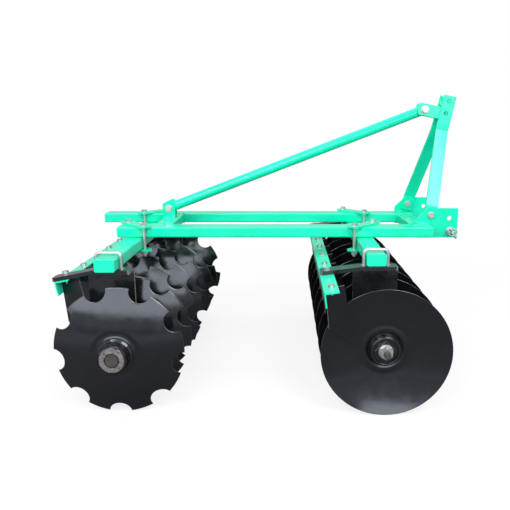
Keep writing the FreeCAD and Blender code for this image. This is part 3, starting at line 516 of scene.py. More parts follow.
class Tree:
    """A node tree being wired: a group with named sockets, or a material's own tree."""

    def __init__(self, tree: NodeTree) -> None:
        """Wrap a tree."""
        self.tree = tree

    @classmethod
    def group(cls, name: str, kind: str, inputs: dict[str, tuple], outputs: dict[str, str]) -> "Tree":
        """Make a node group.

        Args:
            name: the group's name.
            kind: ShaderNodeTree or GeometryNodeTree.
            inputs: socket name to (socket type, default).
            outputs: socket name to socket type.

        Returns:
            The group, with an inlet and an outlet node.
        """
        made = cls(bpy.data.node_groups.new(name, kind))
        sockets = made.tree.interface
        for socket, (socket_type, default) in inputs.items():
            item = sockets.new_socket(socket, in_out="INPUT", socket_type=f"NodeSocket{socket_type}")
            if default is not None:
                item.default_value = default
        for socket, socket_type in outputs.items():
            sockets.new_socket(socket, in_out="OUTPUT", socket_type=f"NodeSocket{socket_type}")
        made.inlet = made.tree.nodes.new("NodeGroupInput")
        made.outlet = made.tree.nodes.new("NodeGroupOutput")
        return made

    def add(self, kind: str, links: dict | None = None, **settings) -> Node:
        """Add a node.

        Args:
            kind: the node's type.
            links: input name to the socket or plain value that feeds it.
            settings: the node's properties.

        Returns:
            The node.
        """
        made = self.tree.nodes.new(kind)
        for name, value in settings.items():
            setattr(made, name, value)
        for name, source in (links or {}).items():
            self.feed(made.inputs[name], source)
        return made

    def feed(self, socket: Socket, source: Source) -> None:
        """Link a socket to another, or set its value."""
        if isinstance(source, Socket):
            self.tree.links.new(source, socket)
        else:
            socket.default_value = source

    def maths(self, operation: str, *values: Source, clamp: bool = False) -> Socket:
        """A Math node.

        Args:
            operation: what it does.
            values: its sockets or numbers.
            clamp: whether the result stays between 0 and 1.

        Returns:
            The result.
        """
        node = self.add("ShaderNodeMath", operation=operation, use_clamp=clamp)
        for socket, value in zip(node.inputs, values):
            self.feed(socket, value)
        return node.outputs[0]

    def noise(self, vector: Source, scale: Source, detail: float = 3,
              roughness: float = 0.55) -> Socket:
        """A Noise Texture's value, from 0 to 1."""
        node = self.add("ShaderNodeTexNoise", {"Vector": vector, "Scale": scale, "Detail": detail,
                                               "Roughness": roughness})
        return node.outputs["Fac"]

    def ramp(self, value: Source, low: float, high: float, start: float = 0,
             end: float = 1) -> Socket:
        """A value spread from one range to another, smoothly and clamped."""
        node = self.add("ShaderNodeMapRange", {"Value": value, "From Min": low, "From Max": high,
                                               "To Min": start, "To Max": end},
                        interpolation_type="SMOOTHSTEP")
        return node.outputs["Result"]

    def finished(self, geometry: Socket) -> NodeTree:
        """End a geometry tree: make its instances real and give them the finish.

        Args:
            geometry: what the tree made.

        Returns:
            The tree.
        """
        real = self.add("GeometryNodeRealizeInstances", {"Geometry": geometry})
        done = self.add("GeometryNodeSetMaterial",
                        {"Geometry": real.outputs["Geometry"], "Material": self.inlet.outputs["Finish"]})
        self.feed(self.outlet.inputs["Mesh"], done.outputs["Geometry"])
        return self.tree

    def mix(self, share: Source, first: Source, second: Source) -> Socket:
        """A mix of two colours.

        Args:
            share: how much of the second.
            first: a colour.
            second: another colour.

        Returns:
            The mixed colour.
        """
        node = self.add("ShaderNodeMix", data_type="RGBA")
        self.feed(node.inputs["Factor"], share)
        self.feed(node.inputs[6], first)
        self.feed(node.inputs[7], second)
        return node.outputs[2]


class Library:
    """Node trees that are each made once, by the method of the same name."""

    made: ClassVar[dict[str, NodeTree]] = {}

    @classmethod
    def named(cls, name: str) -> NodeTree:
        """Give a tree, making it at its first use."""
        if name not in cls.made:
            cls.made[name] = getattr(cls, name)()
        return cls.made[name]


class Patterns(Library):
    """The harrow's shared surface effects, each a shader node group."""

    @staticmethod
    def sprayed_film() -> NodeTree:
        """Sprayed paint: slow changes of shade, a fine orange peel, and gloss that varies."""
        t = Tree.group("sprayed film", "ShaderNodeTree",
                       {"Place": ("Vector", None), "Thin": ("Color", (0, 0, 0, 1)),
                        "Thick": ("Color", (1, 1, 1, 1)), "Gloss": ("Float", 0.2), "Dull": ("Float", 0.4)},
                       {"Color": "Color", "Roughness": "Float", "Height": "Float"})
        place = t.inlet.outputs["Place"]
        slow = t.ramp(t.noise(place, 7.0, 4), 0.3, 0.7)
        peel = t.noise(place, 420.0, 2)
        waves = t.noise(place, 60.0, 3)
        colour = t.mix(slow, t.inlet.outputs["Thin"], t.inlet.outputs["Thick"])
        patches = t.ramp(t.noise(place, 23.0, 5), 0.35, 0.75)
        span = t.maths("SUBTRACT", t.inlet.outputs["Dull"], t.inlet.outputs["Gloss"])
        rough = t.maths("ADD", t.inlet.outputs["Gloss"], t.maths("MULTIPLY", span, patches))
        height = t.maths("ADD", t.maths("MULTIPLY", peel, 0.35), waves)
        for name, value in (("Color", colour), ("Roughness", rough), ("Height", height)):
            t.feed(t.outlet.inputs[name], value)
        return t.tree

    @staticmethod
    def settled_dust() -> NodeTree:
        """A mask of dust that gathers on faces that look up, and in streaks."""
        t = Tree.group("settled dust", "ShaderNodeTree",
                       {"Place": ("Vector", None), "Normal": ("Vector", None), "Amount": ("Float", 0.3),
                        "Grain": ("Float", 40.0)}, {"Mask": "Float"})
        upward = t.add("ShaderNodeSeparateXYZ", {"Vector": t.inlet.outputs["Normal"]}).outputs["Z"]
        lying = t.ramp(upward, -0.2, 0.9, 0.25, 1)
        cloud = t.ramp(t.noise(t.inlet.outputs["Place"], t.inlet.outputs["Grain"], 6, 0.7), 0.42, 0.78)
        mask = t.maths("MULTIPLY", t.maths("MULTIPLY", lying, cloud), t.inlet.outputs["Amount"], clamp=True)
        t.feed(t.outlet.inputs["Mask"], mask)
        return t.tree

    @staticmethod
    def fine_scratches() -> NodeTree:
        """Fine handling marks that run one way, as a mask."""
        t = Tree.group("fine scratches", "ShaderNodeTree",
                       {"Place": ("Vector", None), "Stretch": ("Vector", (1, 1, 1)), "Amount": ("Float", 0.5)},
                       {"Mask": "Float"})
        drawn = t.add("ShaderNodeVectorMath", operation="MULTIPLY")
        t.feed(drawn.inputs[0], t.inlet.outputs["Place"])
        t.feed(drawn.inputs[1], t.inlet.outputs["Stretch"])
        lines = t.ramp(t.noise(drawn.outputs[0], 150.0, 2), 0.62, 0.74)
        area = t.ramp(t.noise(t.inlet.outputs["Place"], 11.0, 2), 0.5, 0.7)
        mask = t.maths("MULTIPLY", t.maths("MULTIPLY", lines, area), t.inlet.outputs["Amount"])
        t.feed(t.outlet.inputs["Mask"], mask)
        return t.tree


# ---- finishes

@dataclass(frozen=True)
class Finish:
    """A surface finish: its name, and the record's material slot that it stands for."""

    name: str
    slot: str

    def material(self) -> Material:
        """The material, made at its first use.

        Returns:
            The material.
        """
        made = bpy.data.materials.get(self.name)
        if made is None:
            made = bpy.data.materials.new(self.name)
            made.use_nodes = True
            tree = Tree(made.node_tree)
            shader = made.node_tree.nodes["Principled BSDF"]
            place = tree.add("ShaderNodeTexCoord").outputs["Object"]
            self.wire(tree, shader, place)
        return made

    def wire(self, tree: Tree, shader: Node, place: Socket) -> None:
        """Feed the shader from patterns over the place.

        Args:
            tree: the material's tree.
            shader: its Principled shader.
            place: the Object coordinates.
        """
        raise NotImplementedError

    @staticmethod
    def use(tree: Tree, pattern: str, **values: Source) -> Node:
        """Place a shared pattern in a material with its own values."""
        node = tree.add("ShaderNodeGroup", node_tree=Patterns.named(pattern))
        for name, value in values.items():
            tree.feed(node.inputs[name], value)
        return node

    @staticmethod
    def bump(tree: Tree, shader: Node, height: Source, strength: float, distance: float) -> None:
        """Feed the shader's normal from a height."""
        node = tree.add("ShaderNodeBump", {"Height": height, "Strength": strength, "Distance": distance})
        tree.feed(shader.inputs["Normal"], node.outputs["Normal"])


@dataclass(frozen=True)
class Paint(Finish):
    """Sprayed gloss paint with some dust. Colours are linear."""

    thin: Colour
    thick: Colour
    gloss: float
    dull: float
    dust: Colour
    dust_amount: float
    index: float = 1.5
    # The specular tint below tints the paint's reflections blue: a painted sky colour, since the lamps are
    # white.
    painted_sky_tint: Colour = (1, 1, 1)
    peel: float = 0.12
    edge_mask: str = ""
    edge_colour: Colour = (0.20, 0.20, 0.20)
    faces: tuple[tuple[float, float, float], ...] = ()
    # Colour of the edges between the flat faces: partly rubbed paint, partly a painted highlight along the
    # bevels.
    worn_and_highlit_edge: Colour = (0.055, 0.056, 0.06)

    def off_faces(self, tree: Tree) -> Socket:
        """A mask of the surface that looks along none of the piece's flat faces.

        Args:
            tree: the material's tree.

        Returns:
            The mask.
        """
        normal = tree.add("ShaderNodeTexCoord").outputs["Normal"]
        flattest = 0.0
        for face in self.faces:
            dot = tree.add("ShaderNodeVectorMath", operation="DOT_PRODUCT")
            tree.feed(dot.inputs[0], normal)
            tree.feed(dot.inputs[1], face)
            flattest = tree.maths("MAXIMUM", flattest, tree.maths("ABSOLUTE", dot.outputs["Value"]))
        return tree.ramp(flattest, 0.995, 0.95)

    def wire(self, tree: Tree, shader: Node, place: Socket) -> None:
        """Feed the shader with the paint film, its dust, lighter edges that are partly worn and partly a
        painted highlight, and bare steel where an edge is ground.
        """
        film = self.use(tree, "sprayed_film", Place=place, Thin=(*self.thin, 1), Thick=(*self.thick, 1),
                        Gloss=self.gloss, Dull=self.dull)
        normal = tree.add("ShaderNodeNewGeometry").outputs["Normal"]
        dust = self.use(tree, "settled_dust", Place=place, Normal=normal, Amount=self.dust_amount)
        colour = tree.mix(dust.outputs["Mask"], film.outputs["Color"], (*self.dust, 1))
        rough = tree.maths("ADD", film.outputs["Roughness"], tree.maths("MULTIPLY", dust.outputs["Mask"], 0.4))
        # Edges off the flat faces turn lighter in patches: partly rubbed paint, partly a painted highlight.
        if self.faces:
            patchy = tree.ramp(tree.noise(place, 45.0, 4), 0.25, 0.6, 0.35, 1.0)
            edge = tree.maths("MULTIPLY", self.off_faces(tree), patchy)
            colour = tree.mix(edge, colour, (*self.worn_and_highlit_edge, 1))
        if self.edge_mask:
            ground = tree.add("ShaderNodeAttribute", attribute_name=self.edge_mask).outputs["Fac"]
            wander = tree.maths("SUBTRACT", tree.noise(place, 160.0, 3), 0.5)
            ragged = tree.maths("ADD", ground, tree.maths("MULTIPLY", wander, 0.5))
            bare = tree.ramp(ragged, 0.45, 0.55)
            colour = tree.mix(bare, colour, (*self.edge_colour, 1))
            tree.feed(shader.inputs["Metallic"], bare)
            rough = tree.maths("ADD", rough, tree.maths("MULTIPLY", bare, 0.15))
        tree.feed(shader.inputs["Base Color"], colour)
        tree.feed(shader.inputs["Roughness"], rough)
        shader.inputs["IOR"].default_value = self.index
        # Specular tint: reflections painted bluish, standing in for a blue sky.
        shader.inputs["Specular Tint"].default_value = (*self.painted_sky_tint, 1)
        self.bump(tree, shader, film.outputs["Height"], self.peel, 0.4 * MM)


@dataclass(frozen=True)
class Plated(Finish):
    """Zinc-plated steel: bright, with a slightly uneven tint and fine scratches."""

    tint: Colour = (0.90, 0.91, 0.92)
    warm: Colour = (0.76, 0.77, 0.77)
    rough: float = 0.28
    metal: float = 0.22

    def wire(self, tree: Tree, shader: Node, place: Socket) -> None:
        """Feed the shader with the plating's tint and scratches."""
        cloud = tree.ramp(tree.noise(place, 55.0, 4), 0.35, 0.7)
        marks = self.use(tree, "fine_scratches", Place=place, Stretch=(1, 0.2, 1), Amount=0.6).outputs["Mask"]
        tree.feed(shader.inputs["Base Color"], tree.mix(cloud, (*self.tint, 1), (*self.warm, 1)))
        shader.inputs["Metallic"].default_value = self.metal
        rough = tree.maths("ADD", self.rough, tree.maths("MULTIPLY", cloud, 0.15))
        tree.feed(shader.inputs["Roughness"], tree.maths("ADD", rough, tree.maths("MULTIPLY", marks, 0.2)))
        self.bump(tree, shader, tree.noise(place, 500.0, 2), 0.08, 0.3 * MM)


@dataclass(frozen=True)
class Casting(Finish):
    """Cast iron under a coat of gloss paint, with rust where the paint is thin."""

    body: Colour = (0.008, 0.008, 0.009)
    rust: Colour = (0.13, 0.075, 0.045)
    rusted: float = 0.2
    gloss: float = 0.15
    index: float = 1.7
    # The specular tint below tints the casting's reflections blue: a painted sky colour, since the lamps are
    # white.
    painted_sky_tint: Colour = (0.84, 0.91, 1.0)

    def worn(self, tree: Tree, place: Socket) -> Socket:
        """Where the paint is gone, as a mask."""
        return tree.maths("MULTIPLY", tree.ramp(tree.noise(place, 75.0, 6, 0.7), 0.60, 0.72), self.rusted)

    def wire(self, tree: Tree, shader: Node, place: Socket) -> None:
        """Feed the shader with sandy texture and rust."""
        sand = tree.noise(place, 700.0, 3)
        lumps = tree.noise(place, 90.0, 4)
        spots = self.worn(tree, place)
        patches = tree.mix(tree.ramp(tree.noise(place, 160.0, 4), 0.35, 0.65), (*self.rust, 1),
                           (*(1.7 * v for v in self.rust), 1))
        tree.feed(shader.inputs["Base Color"], tree.mix(spots, (*self.body, 1), patches))
        tree.feed(shader.inputs["Roughness"], tree.maths("ADD", tree.maths("MULTIPLY", spots, 0.5), self.gloss))
        # Specular tint: reflections painted bluish, standing in for a blue sky.
        shader.inputs["IOR"].default_value = self.index
        shader.inputs["Specular Tint"].default_value = (*self.painted_sky_tint, 1)
        height = tree.maths("ADD", tree.maths("MULTIPLY", sand, 0.3), lumps)
        self.bump(tree, shader, height, 0.14, 0.4 * MM)


@dataclass(frozen=True)
class EndCasting(Casting):
    """A gang's end castings: the cap's face is worn bare, up to an uneven edge.

    face is where the cap's outer face lies across the machine, and way is 1 where it looks left.
    """

    face: float = 0
    way: int = 1
    rust: Colour = (0.125, 0.108, 0.104)
    bare_depth: float = 1.2 * MM

    def worn(self, tree: Tree, place: Socket) -> Socket:
        """The cap's outer face and a little of its shoulder, with spots elsewhere.

        Args:
            tree: the material's tree.
            place: the Object coordinates.

        Returns:
            The mask.
        """
        along = tree.add("ShaderNodeSeparateXYZ", {"Vector": place}).outputs["Y"]
        depth = tree.maths("MULTIPLY", tree.maths("SUBTRACT", along, self.face), float(self.way))
        wander = tree.maths("MULTIPLY", tree.maths("SUBTRACT", tree.noise(place, 90.0, 4), 0.5), 3.5 * MM)
        edge = tree.ramp(tree.maths("ADD", depth, wander), -self.bare_depth, 1.5 * MM - self.bare_depth)
        spots = tree.maths("MULTIPLY", tree.ramp(tree.noise(place, 130.0, 5, 0.7), 0.64, 0.70), 0.7)
        return tree.maths("MAXIMUM", edge, spots)


GREEN = Paint("harrow_green", "green_paint", thin=(0.002, 0.74, 0.44), thick=(0.003, 0.82, 0.51),
              gloss=0.11, dull=0.20, dust=(0.12, 0.80, 0.58), dust_amount=0.05, peel=0.03)
BLACK = Paint("gloss_black", "black_paint", thin=(0.005, 0.0055, 0.0065), thick=(0.008, 0.0085, 0.010),
              gloss=0.12, dull=0.26, dust=(0.07, 0.07, 0.075), dust_amount=0.10, index=1.65,
              painted_sky_tint=(0.80, 0.88, 1.0))
# These blacks paint the edges between their flat faces lighter: partly wear, partly a painted highlight.
HANGER_BLACK = replace(BLACK, name="hanger_black", gloss=0.20, dull=0.36, dust_amount=0.3,
                       faces=((0, 1, 0), (0, 0, 1)), worn_and_highlit_edge=(0.20, 0.20, 0.21))
WASHER_BLACK = replace(BLACK, name="washer_black", faces=((0, 1, 0),), worn_and_highlit_edge=(0.16, 0.16, 0.17))
DISC_BLACK = Paint("disc_black", "black_paint", thin=(0.005, 0.0055, 0.0065), thick=(0.007, 0.0075, 0.009),
                   gloss=0.12, dull=0.24, dust=(0.05, 0.05, 0.055), dust_amount=0.10, index=1.7,
                   painted_sky_tint=(0.80, 0.88, 1.0), peel=0.05, edge_mask="ground")
ZINC = Plated("zinc_plate", "zinc_plate")
WORN_STEEL = Plated("worn_steel", "zinc_plate", tint=(0.05, 0.05, 0.052), warm=(0.08, 0.075, 0.07),
                    rough=0.4)
CAST = Casting("black_casting", "black_castings")


# ---- repeats

class Repeats(Library):
    """The geometry node trees that lay out copies and weld beads."""

    @staticmethod
    def copies_on_points() -> NodeTree:
        """Copies of an object on points, each turned by the point's own turn."""
        t = Tree.group("copies on points", "GeometryNodeTree",
                       {"Points": ("Geometry", None), "Copy": ("Object", None), "Finish": ("Material", None)},
                       {"Mesh": "Geometry"})
        copy = t.add("GeometryNodeObjectInfo", {"Object": t.inlet.outputs["Copy"], "As Instance": True})
        turn = t.add("GeometryNodeInputNamedAttribute", {"Name": "turn"}, data_type="FLOAT_VECTOR")
        spin = t.add("FunctionNodeEulerToRotation", {"Euler": turn.outputs["Attribute"]})
        laid = t.add("GeometryNodeInstanceOnPoints",
                     {"Points": t.inlet.outputs["Points"], "Instance": copy.outputs["Geometry"],
                      "Rotation": spin.outputs["Rotation"]})
        return t.finished(laid.outputs["Instances"])

    @staticmethod
    def weld_beads() -> NodeTree:
        """A rippled bead of weld along each edge line."""
        t = Tree.group("weld beads", "GeometryNodeTree",
                       {"Lines": ("Geometry", None), "Width": ("Float", 7 * MM), "Ripple": ("Float", 3 * MM),
                        "Unevenness": ("Float", 0.25), "Seed": ("Float", 1.0), "Finish": ("Material", None)},
                       {"Mesh": "Geometry"})
        curve = t.add("GeometryNodeMeshToCurve", {"Mesh": t.inlet.outputs["Lines"]})
        step = t.maths("DIVIDE", t.inlet.outputs["Ripple"], 3.0)
        fine = t.add("GeometryNodeResampleCurve", {"Curve": curve.outputs["Curve"]}, mode="LENGTH")
        t.feed(next(socket for socket in fine.inputs if socket.name == "Length"), step)
        index = t.add("GeometryNodeInputIndex").outputs["Index"]
        ripple = t.maths("MULTIPLY", t.maths("SINE", t.maths("MULTIPLY", index, math.tau / 3)), 0.14)
        place = t.add("GeometryNodeInputPosition").outputs["Position"]
        drift = t.add("ShaderNodeTexNoise", {"Vector": place, "W": t.inlet.outputs["Seed"], "Scale": 90.0},
                      noise_dimensions="4D").outputs[0]
        drift = t.maths("MULTIPLY", t.maths("SUBTRACT", drift, 0.5), t.inlet.outputs["Unevenness"])
        share = t.maths("ADD", t.maths("ADD", ripple, 1.0), t.maths("MULTIPLY", drift, 2.0))
        radius = t.maths("MULTIPLY", share, t.maths("DIVIDE", t.inlet.outputs["Width"], 2.0))
        ring = t.add("GeometryNodeCurvePrimitiveCircle", {"Resolution": 10, "Radius": 1.0})
        tube = t.add("GeometryNodeCurveToMesh", {"Curve": fine.outputs["Curve"],
                                                 "Profile Curve": ring.outputs["Curve"],
                                                 "Scale": radius, "Fill Caps": True})
        return t.finished(tube.outputs["Mesh"])


def laid_out(name: str, points: Mesh, tree: str, finish: Finish, **values) -> Object:
    """Run a geometry node tree over a mesh and keep the result as a plain mesh.

    Args:
        name: the new piece's name.
        points: the mesh the tree starts from.
        tree: the tree's name in Repeats.
        finish: the finish of what it makes.
        values: the tree's named inputs, with spaces as underscores.

    Returns:
        The baked object.
    """
    thing = placed(name, points)
    modifier = thing.modifiers.new(tree, "NODES")
    modifier.node_group = Repeats.named(tree)
    sockets = {item.name: item.identifier for item in modifier.node_group.interface.items_tree}
    for key, value in {**values, "Finish": finish.material()}.items():
        modifier[sockets[key.replace("_", " ")]] = value
    made = bake(thing)
    smooth = made.data.polygons
    smooth.foreach_set("use_smooth", [True] * len(smooth))
    return made


def copies(name: str, pattern: Object, places: Sequence[Matrix],
           finish: Finish) -> Object:
    """Copies of a pattern, one in each place. The pattern itself is removed.

    Args:
        name: the new piece's name.
        pattern: the object to copy, made about the origin.
        places: the copies' frames.
        finish: the finish of the copies.

    Returns:
        The baked object, one mesh.
    """
    data = bpy.data.meshes.new(name)
    data.from_pydata([tuple(place.translation) for place in places], [], [])
    turn = data.attributes.new("turn", "FLOAT_VECTOR", "POINT")
    for item, place in zip(turn.data, places):
        item.vector = tuple(place.to_euler("XYZ"))
    made = laid_out(name, data, "copies_on_points", finish, Copy=pattern)
    bpy.data.objects.remove(pattern)
    return made


def bolts(name: str, fit: Bolt, grip: float, places: Sequence[Matrix]) -> Object:
    """Plated bolts that are all alike, each in a frame at its head with the Z axis into the work."""
    solid = Solid()
    solid.bolt(Matrix(), fit, grip)
    return copies(name, solid.shape("bolt pattern", ZINC), places, ZINC)


def welds(name: str, lines: Sequence[Sequence[Sequence[float]]], finish: Finish, width: float = 7 * MM,
          seed: float = 1.0) -> Object:
    """Weld beads along lines of points.

    Args:
        name: the new piece's name.
        lines: the lines.
        finish: the finish of the beads.
        width: how wide they are.
        seed: what their unevenness starts from.

    Returns:
        The baked object, one mesh.
    """
    data = bpy.data.meshes.new(name)
    spots = [tuple(p) for line in lines for p in line]
    edges = []
    first = 0
    for line in lines:
        edges += [(first + i, first + i + 1) for i in range(len(line) - 1)]
        first += len(line)
    data.from_pydata(spots, edges, [])
    return laid_out(name, data, "weld_beads", finish, Width=width, Seed=seed)


def settle(thing: Object, body: str, slot: str, *nodes: str) -> None:
    """Fix a finished piece to its body and hide the CAD nodes it stands for.

    Args:
        thing: the piece.
        body: the body it rides.
        slot: the material slot it stands for; not used.
        nodes: the CAD nodes it replaces.
    """
    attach(thing, body)
    if nodes:
        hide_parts(*nodes)
    log.info("%s: %d faces on %s", thing.name, len(thing.data.polygons), body)


# ---- main frame

@dataclass
class MainFrame:
    """The two main beams and the cross members between them, with their welds."""

    corner: float = 6 * MM
    end_plate: float = 4 * MM
    weld: float = 6 * MM
    patch_ends: tuple[float, float] = (88 * MM, 12 * MM)
    patch_inset: float = 4 * MM
    patch_turns: int = 12
    patch_swing: float = 9 * MM
    patch_bead: float = 7.8 * MM

    def beam(self, name: str, node: str, *also: str) -> None:
        """A rounded tube with its two ends closed, along X.

        Args:
            name: the piece's name.
            node: the CAD node of the tube.
            also: other nodes that the piece stands for.
        """
        room = Bounds.of(node).grown(x=self.end_plate)
        solid = Solid()
        start = Vector((room.low.x, room.centre.y, room.centre.z))
        section = rectangle(room.size.y, room.size.z, self.corner)
        solid.prism(section, room.size.x, Toward.FORWARD.matrix(start))
        solid.piece(name, GREEN, node, *also, edge=1.6 * MM, segments=3)

    def cross_member(self, name: str, node: str) -> None:
        """A rounded tube across the frame, a little short of its welds."""
        room = Bounds.of(node)
        solid = Solid()
        start = Vector((room.centre.x, room.low.y, room.centre.z))
        section = rectangle(room.size.x, room.size.z, self.corner)
        solid.prism(section, room.size.y, Toward.LEFT.matrix(start))
        solid.piece(name, GREEN, node)

    def joint_lines(self, node: str) -> list[list[Vector]]:
        """The outline of both ends of a cross member, where it is welded to a beam.

        Args:
            node: the cross member's CAD node.

        Returns:
            A closed line of points for each end.
        """
        room = Bounds.of(node)
        lines = []
        for y in (room.low.y, room.high.y):
            corners = [(x, z) for x, z in ((room.low.x, room.low.z), (room.low.x, room.high.z),
                                           (room.high.x, room.high.z), (room.high.x, room.low.z))]
            lines.append([Vector((x, y, z)) for x, z in corners + corners[:1]])
        return lines

    def plate_lines(self, plate: str, beam: str) -> list[list[Vector]]:
        """Where a hitch plate lies against the side of a beam and is welded round.

        Args:
            plate: the plate's CAD node.
            beam: the beam's CAD node.

        Returns:
            The ends of each run of weld.
        """
        flat, tube = Bounds.of(plate), Bounds.of(beam)
        inward = 1 if flat.centre.y > tube.centre.y else -1
        y = tube.high.y if inward > 0 else tube.low.y
        front = tube.high.x + self.end_plate
        rear = flat.low.x + self.weld
        return [[Vector((rear, y, tube.high.z)), Vector((front, y, tube.high.z))],
                [Vector((front, y, tube.high.z)), Vector((front, y, tube.low.z))],
                [Vector((rear, y, tube.low.z)), Vector((front, y, tube.low.z))]]

    def patch_weld(self) -> list[Vector]:
        """The wandering bead across the top of the front cross member.

        Returns:
            The points it passes through.
        """
        room = Bounds.of("front_cross_member")
        start, stop = self.patch_ends
        first = Vector((room.low.x + self.patch_inset, room.centre.y + start, room.high.z))
        last = Vector((room.high.x - self.patch_inset, room.centre.y + stop, room.high.z))
        points = [first.lerp(last, i / self.patch_turns) for i in range(self.patch_turns + 1)]
        for i, point in enumerate(points):
            point.y += self.patch_swing if i % 2 else -self.patch_swing
        return points

    def build(self) -> None:
        """Make the frame's pieces."""
        self.beam("right_beam_tube", "right_main_beam", "tube_end_plates")
        self.beam("left_beam_tube", "left_main_beam")
        self.cross_member("front_cross_tube", "front_cross_member")
        self.cross_member("rear_cross_tube", "rear_cross_member")
        lines = self.joint_lines("front_cross_member") + self.joint_lines("rear_cross_member")
        lines += self.plate_lines("right_hitch_plate", "right_main_beam")
        lines += self.plate_lines("left_hitch_plate", "left_main_beam")
        settle(welds("frame_welds", lines, GREEN, self.weld, 2.0), FRAME_BODY, GREEN.slot)
        settle(welds("patch_weld", [self.patch_weld()], GREEN, self.patch_bead, 3.0), FRAME_BODY, GREEN.slot)


# ---- hitch and brace

@dataclass(frozen=True)
class LynchPin:
    """The pin that locks a link pin, with its head and its sprung ring."""

    tilt: float = -34
    radius: float = 4.5 * MM
    length: float = 46 * MM
    below: float = 27 * MM
    head_at: float = 12 * MM
    ring_top: float = 16 * MM
    ring_wide: float = 17 * MM
    ring_out: float = 13.5 * MM
    ring_fall: float = 10.5 * MM
    wire: float = 1.9 * MM

    def build(self, name: str, hole: Vector, way: Vector) -> None:
        """Make the pin.

        Args:
            name: the piece's name.
            hole: the middle of the cross hole it hangs in.
            way: the direction in which the link pin points.
        """
        place = Matrix.Translation(hole) @ Matrix.Rotation(math.radians(self.tilt), 4, "Y")
        solid = Solid()
        solid.rod(self.radius, self.length, place @ raised(-self.below), 20, 1.5 * MM)
        solid.turned([(4 * MM, 0), (8.5 * MM, 2 * MM), (8.5 * MM, 9 * MM), (5 * MM, 12 * MM)],
                     place @ raised(self.head_at), 24)
        ring = [place @ Vector((self.ring_wide * math.sin(a), way.y * self.ring_out * (1 - math.cos(a)),
                                self.ring_top - self.ring_fall * (1 - math.cos(a))))
                for a in (math.tau * i / 40 for i in range(40))]
        solid.sweep(ring, [(p.x, p.y) for p in circle(self.wire, 10)], looped=True)
        solid.piece(name, ZINC)


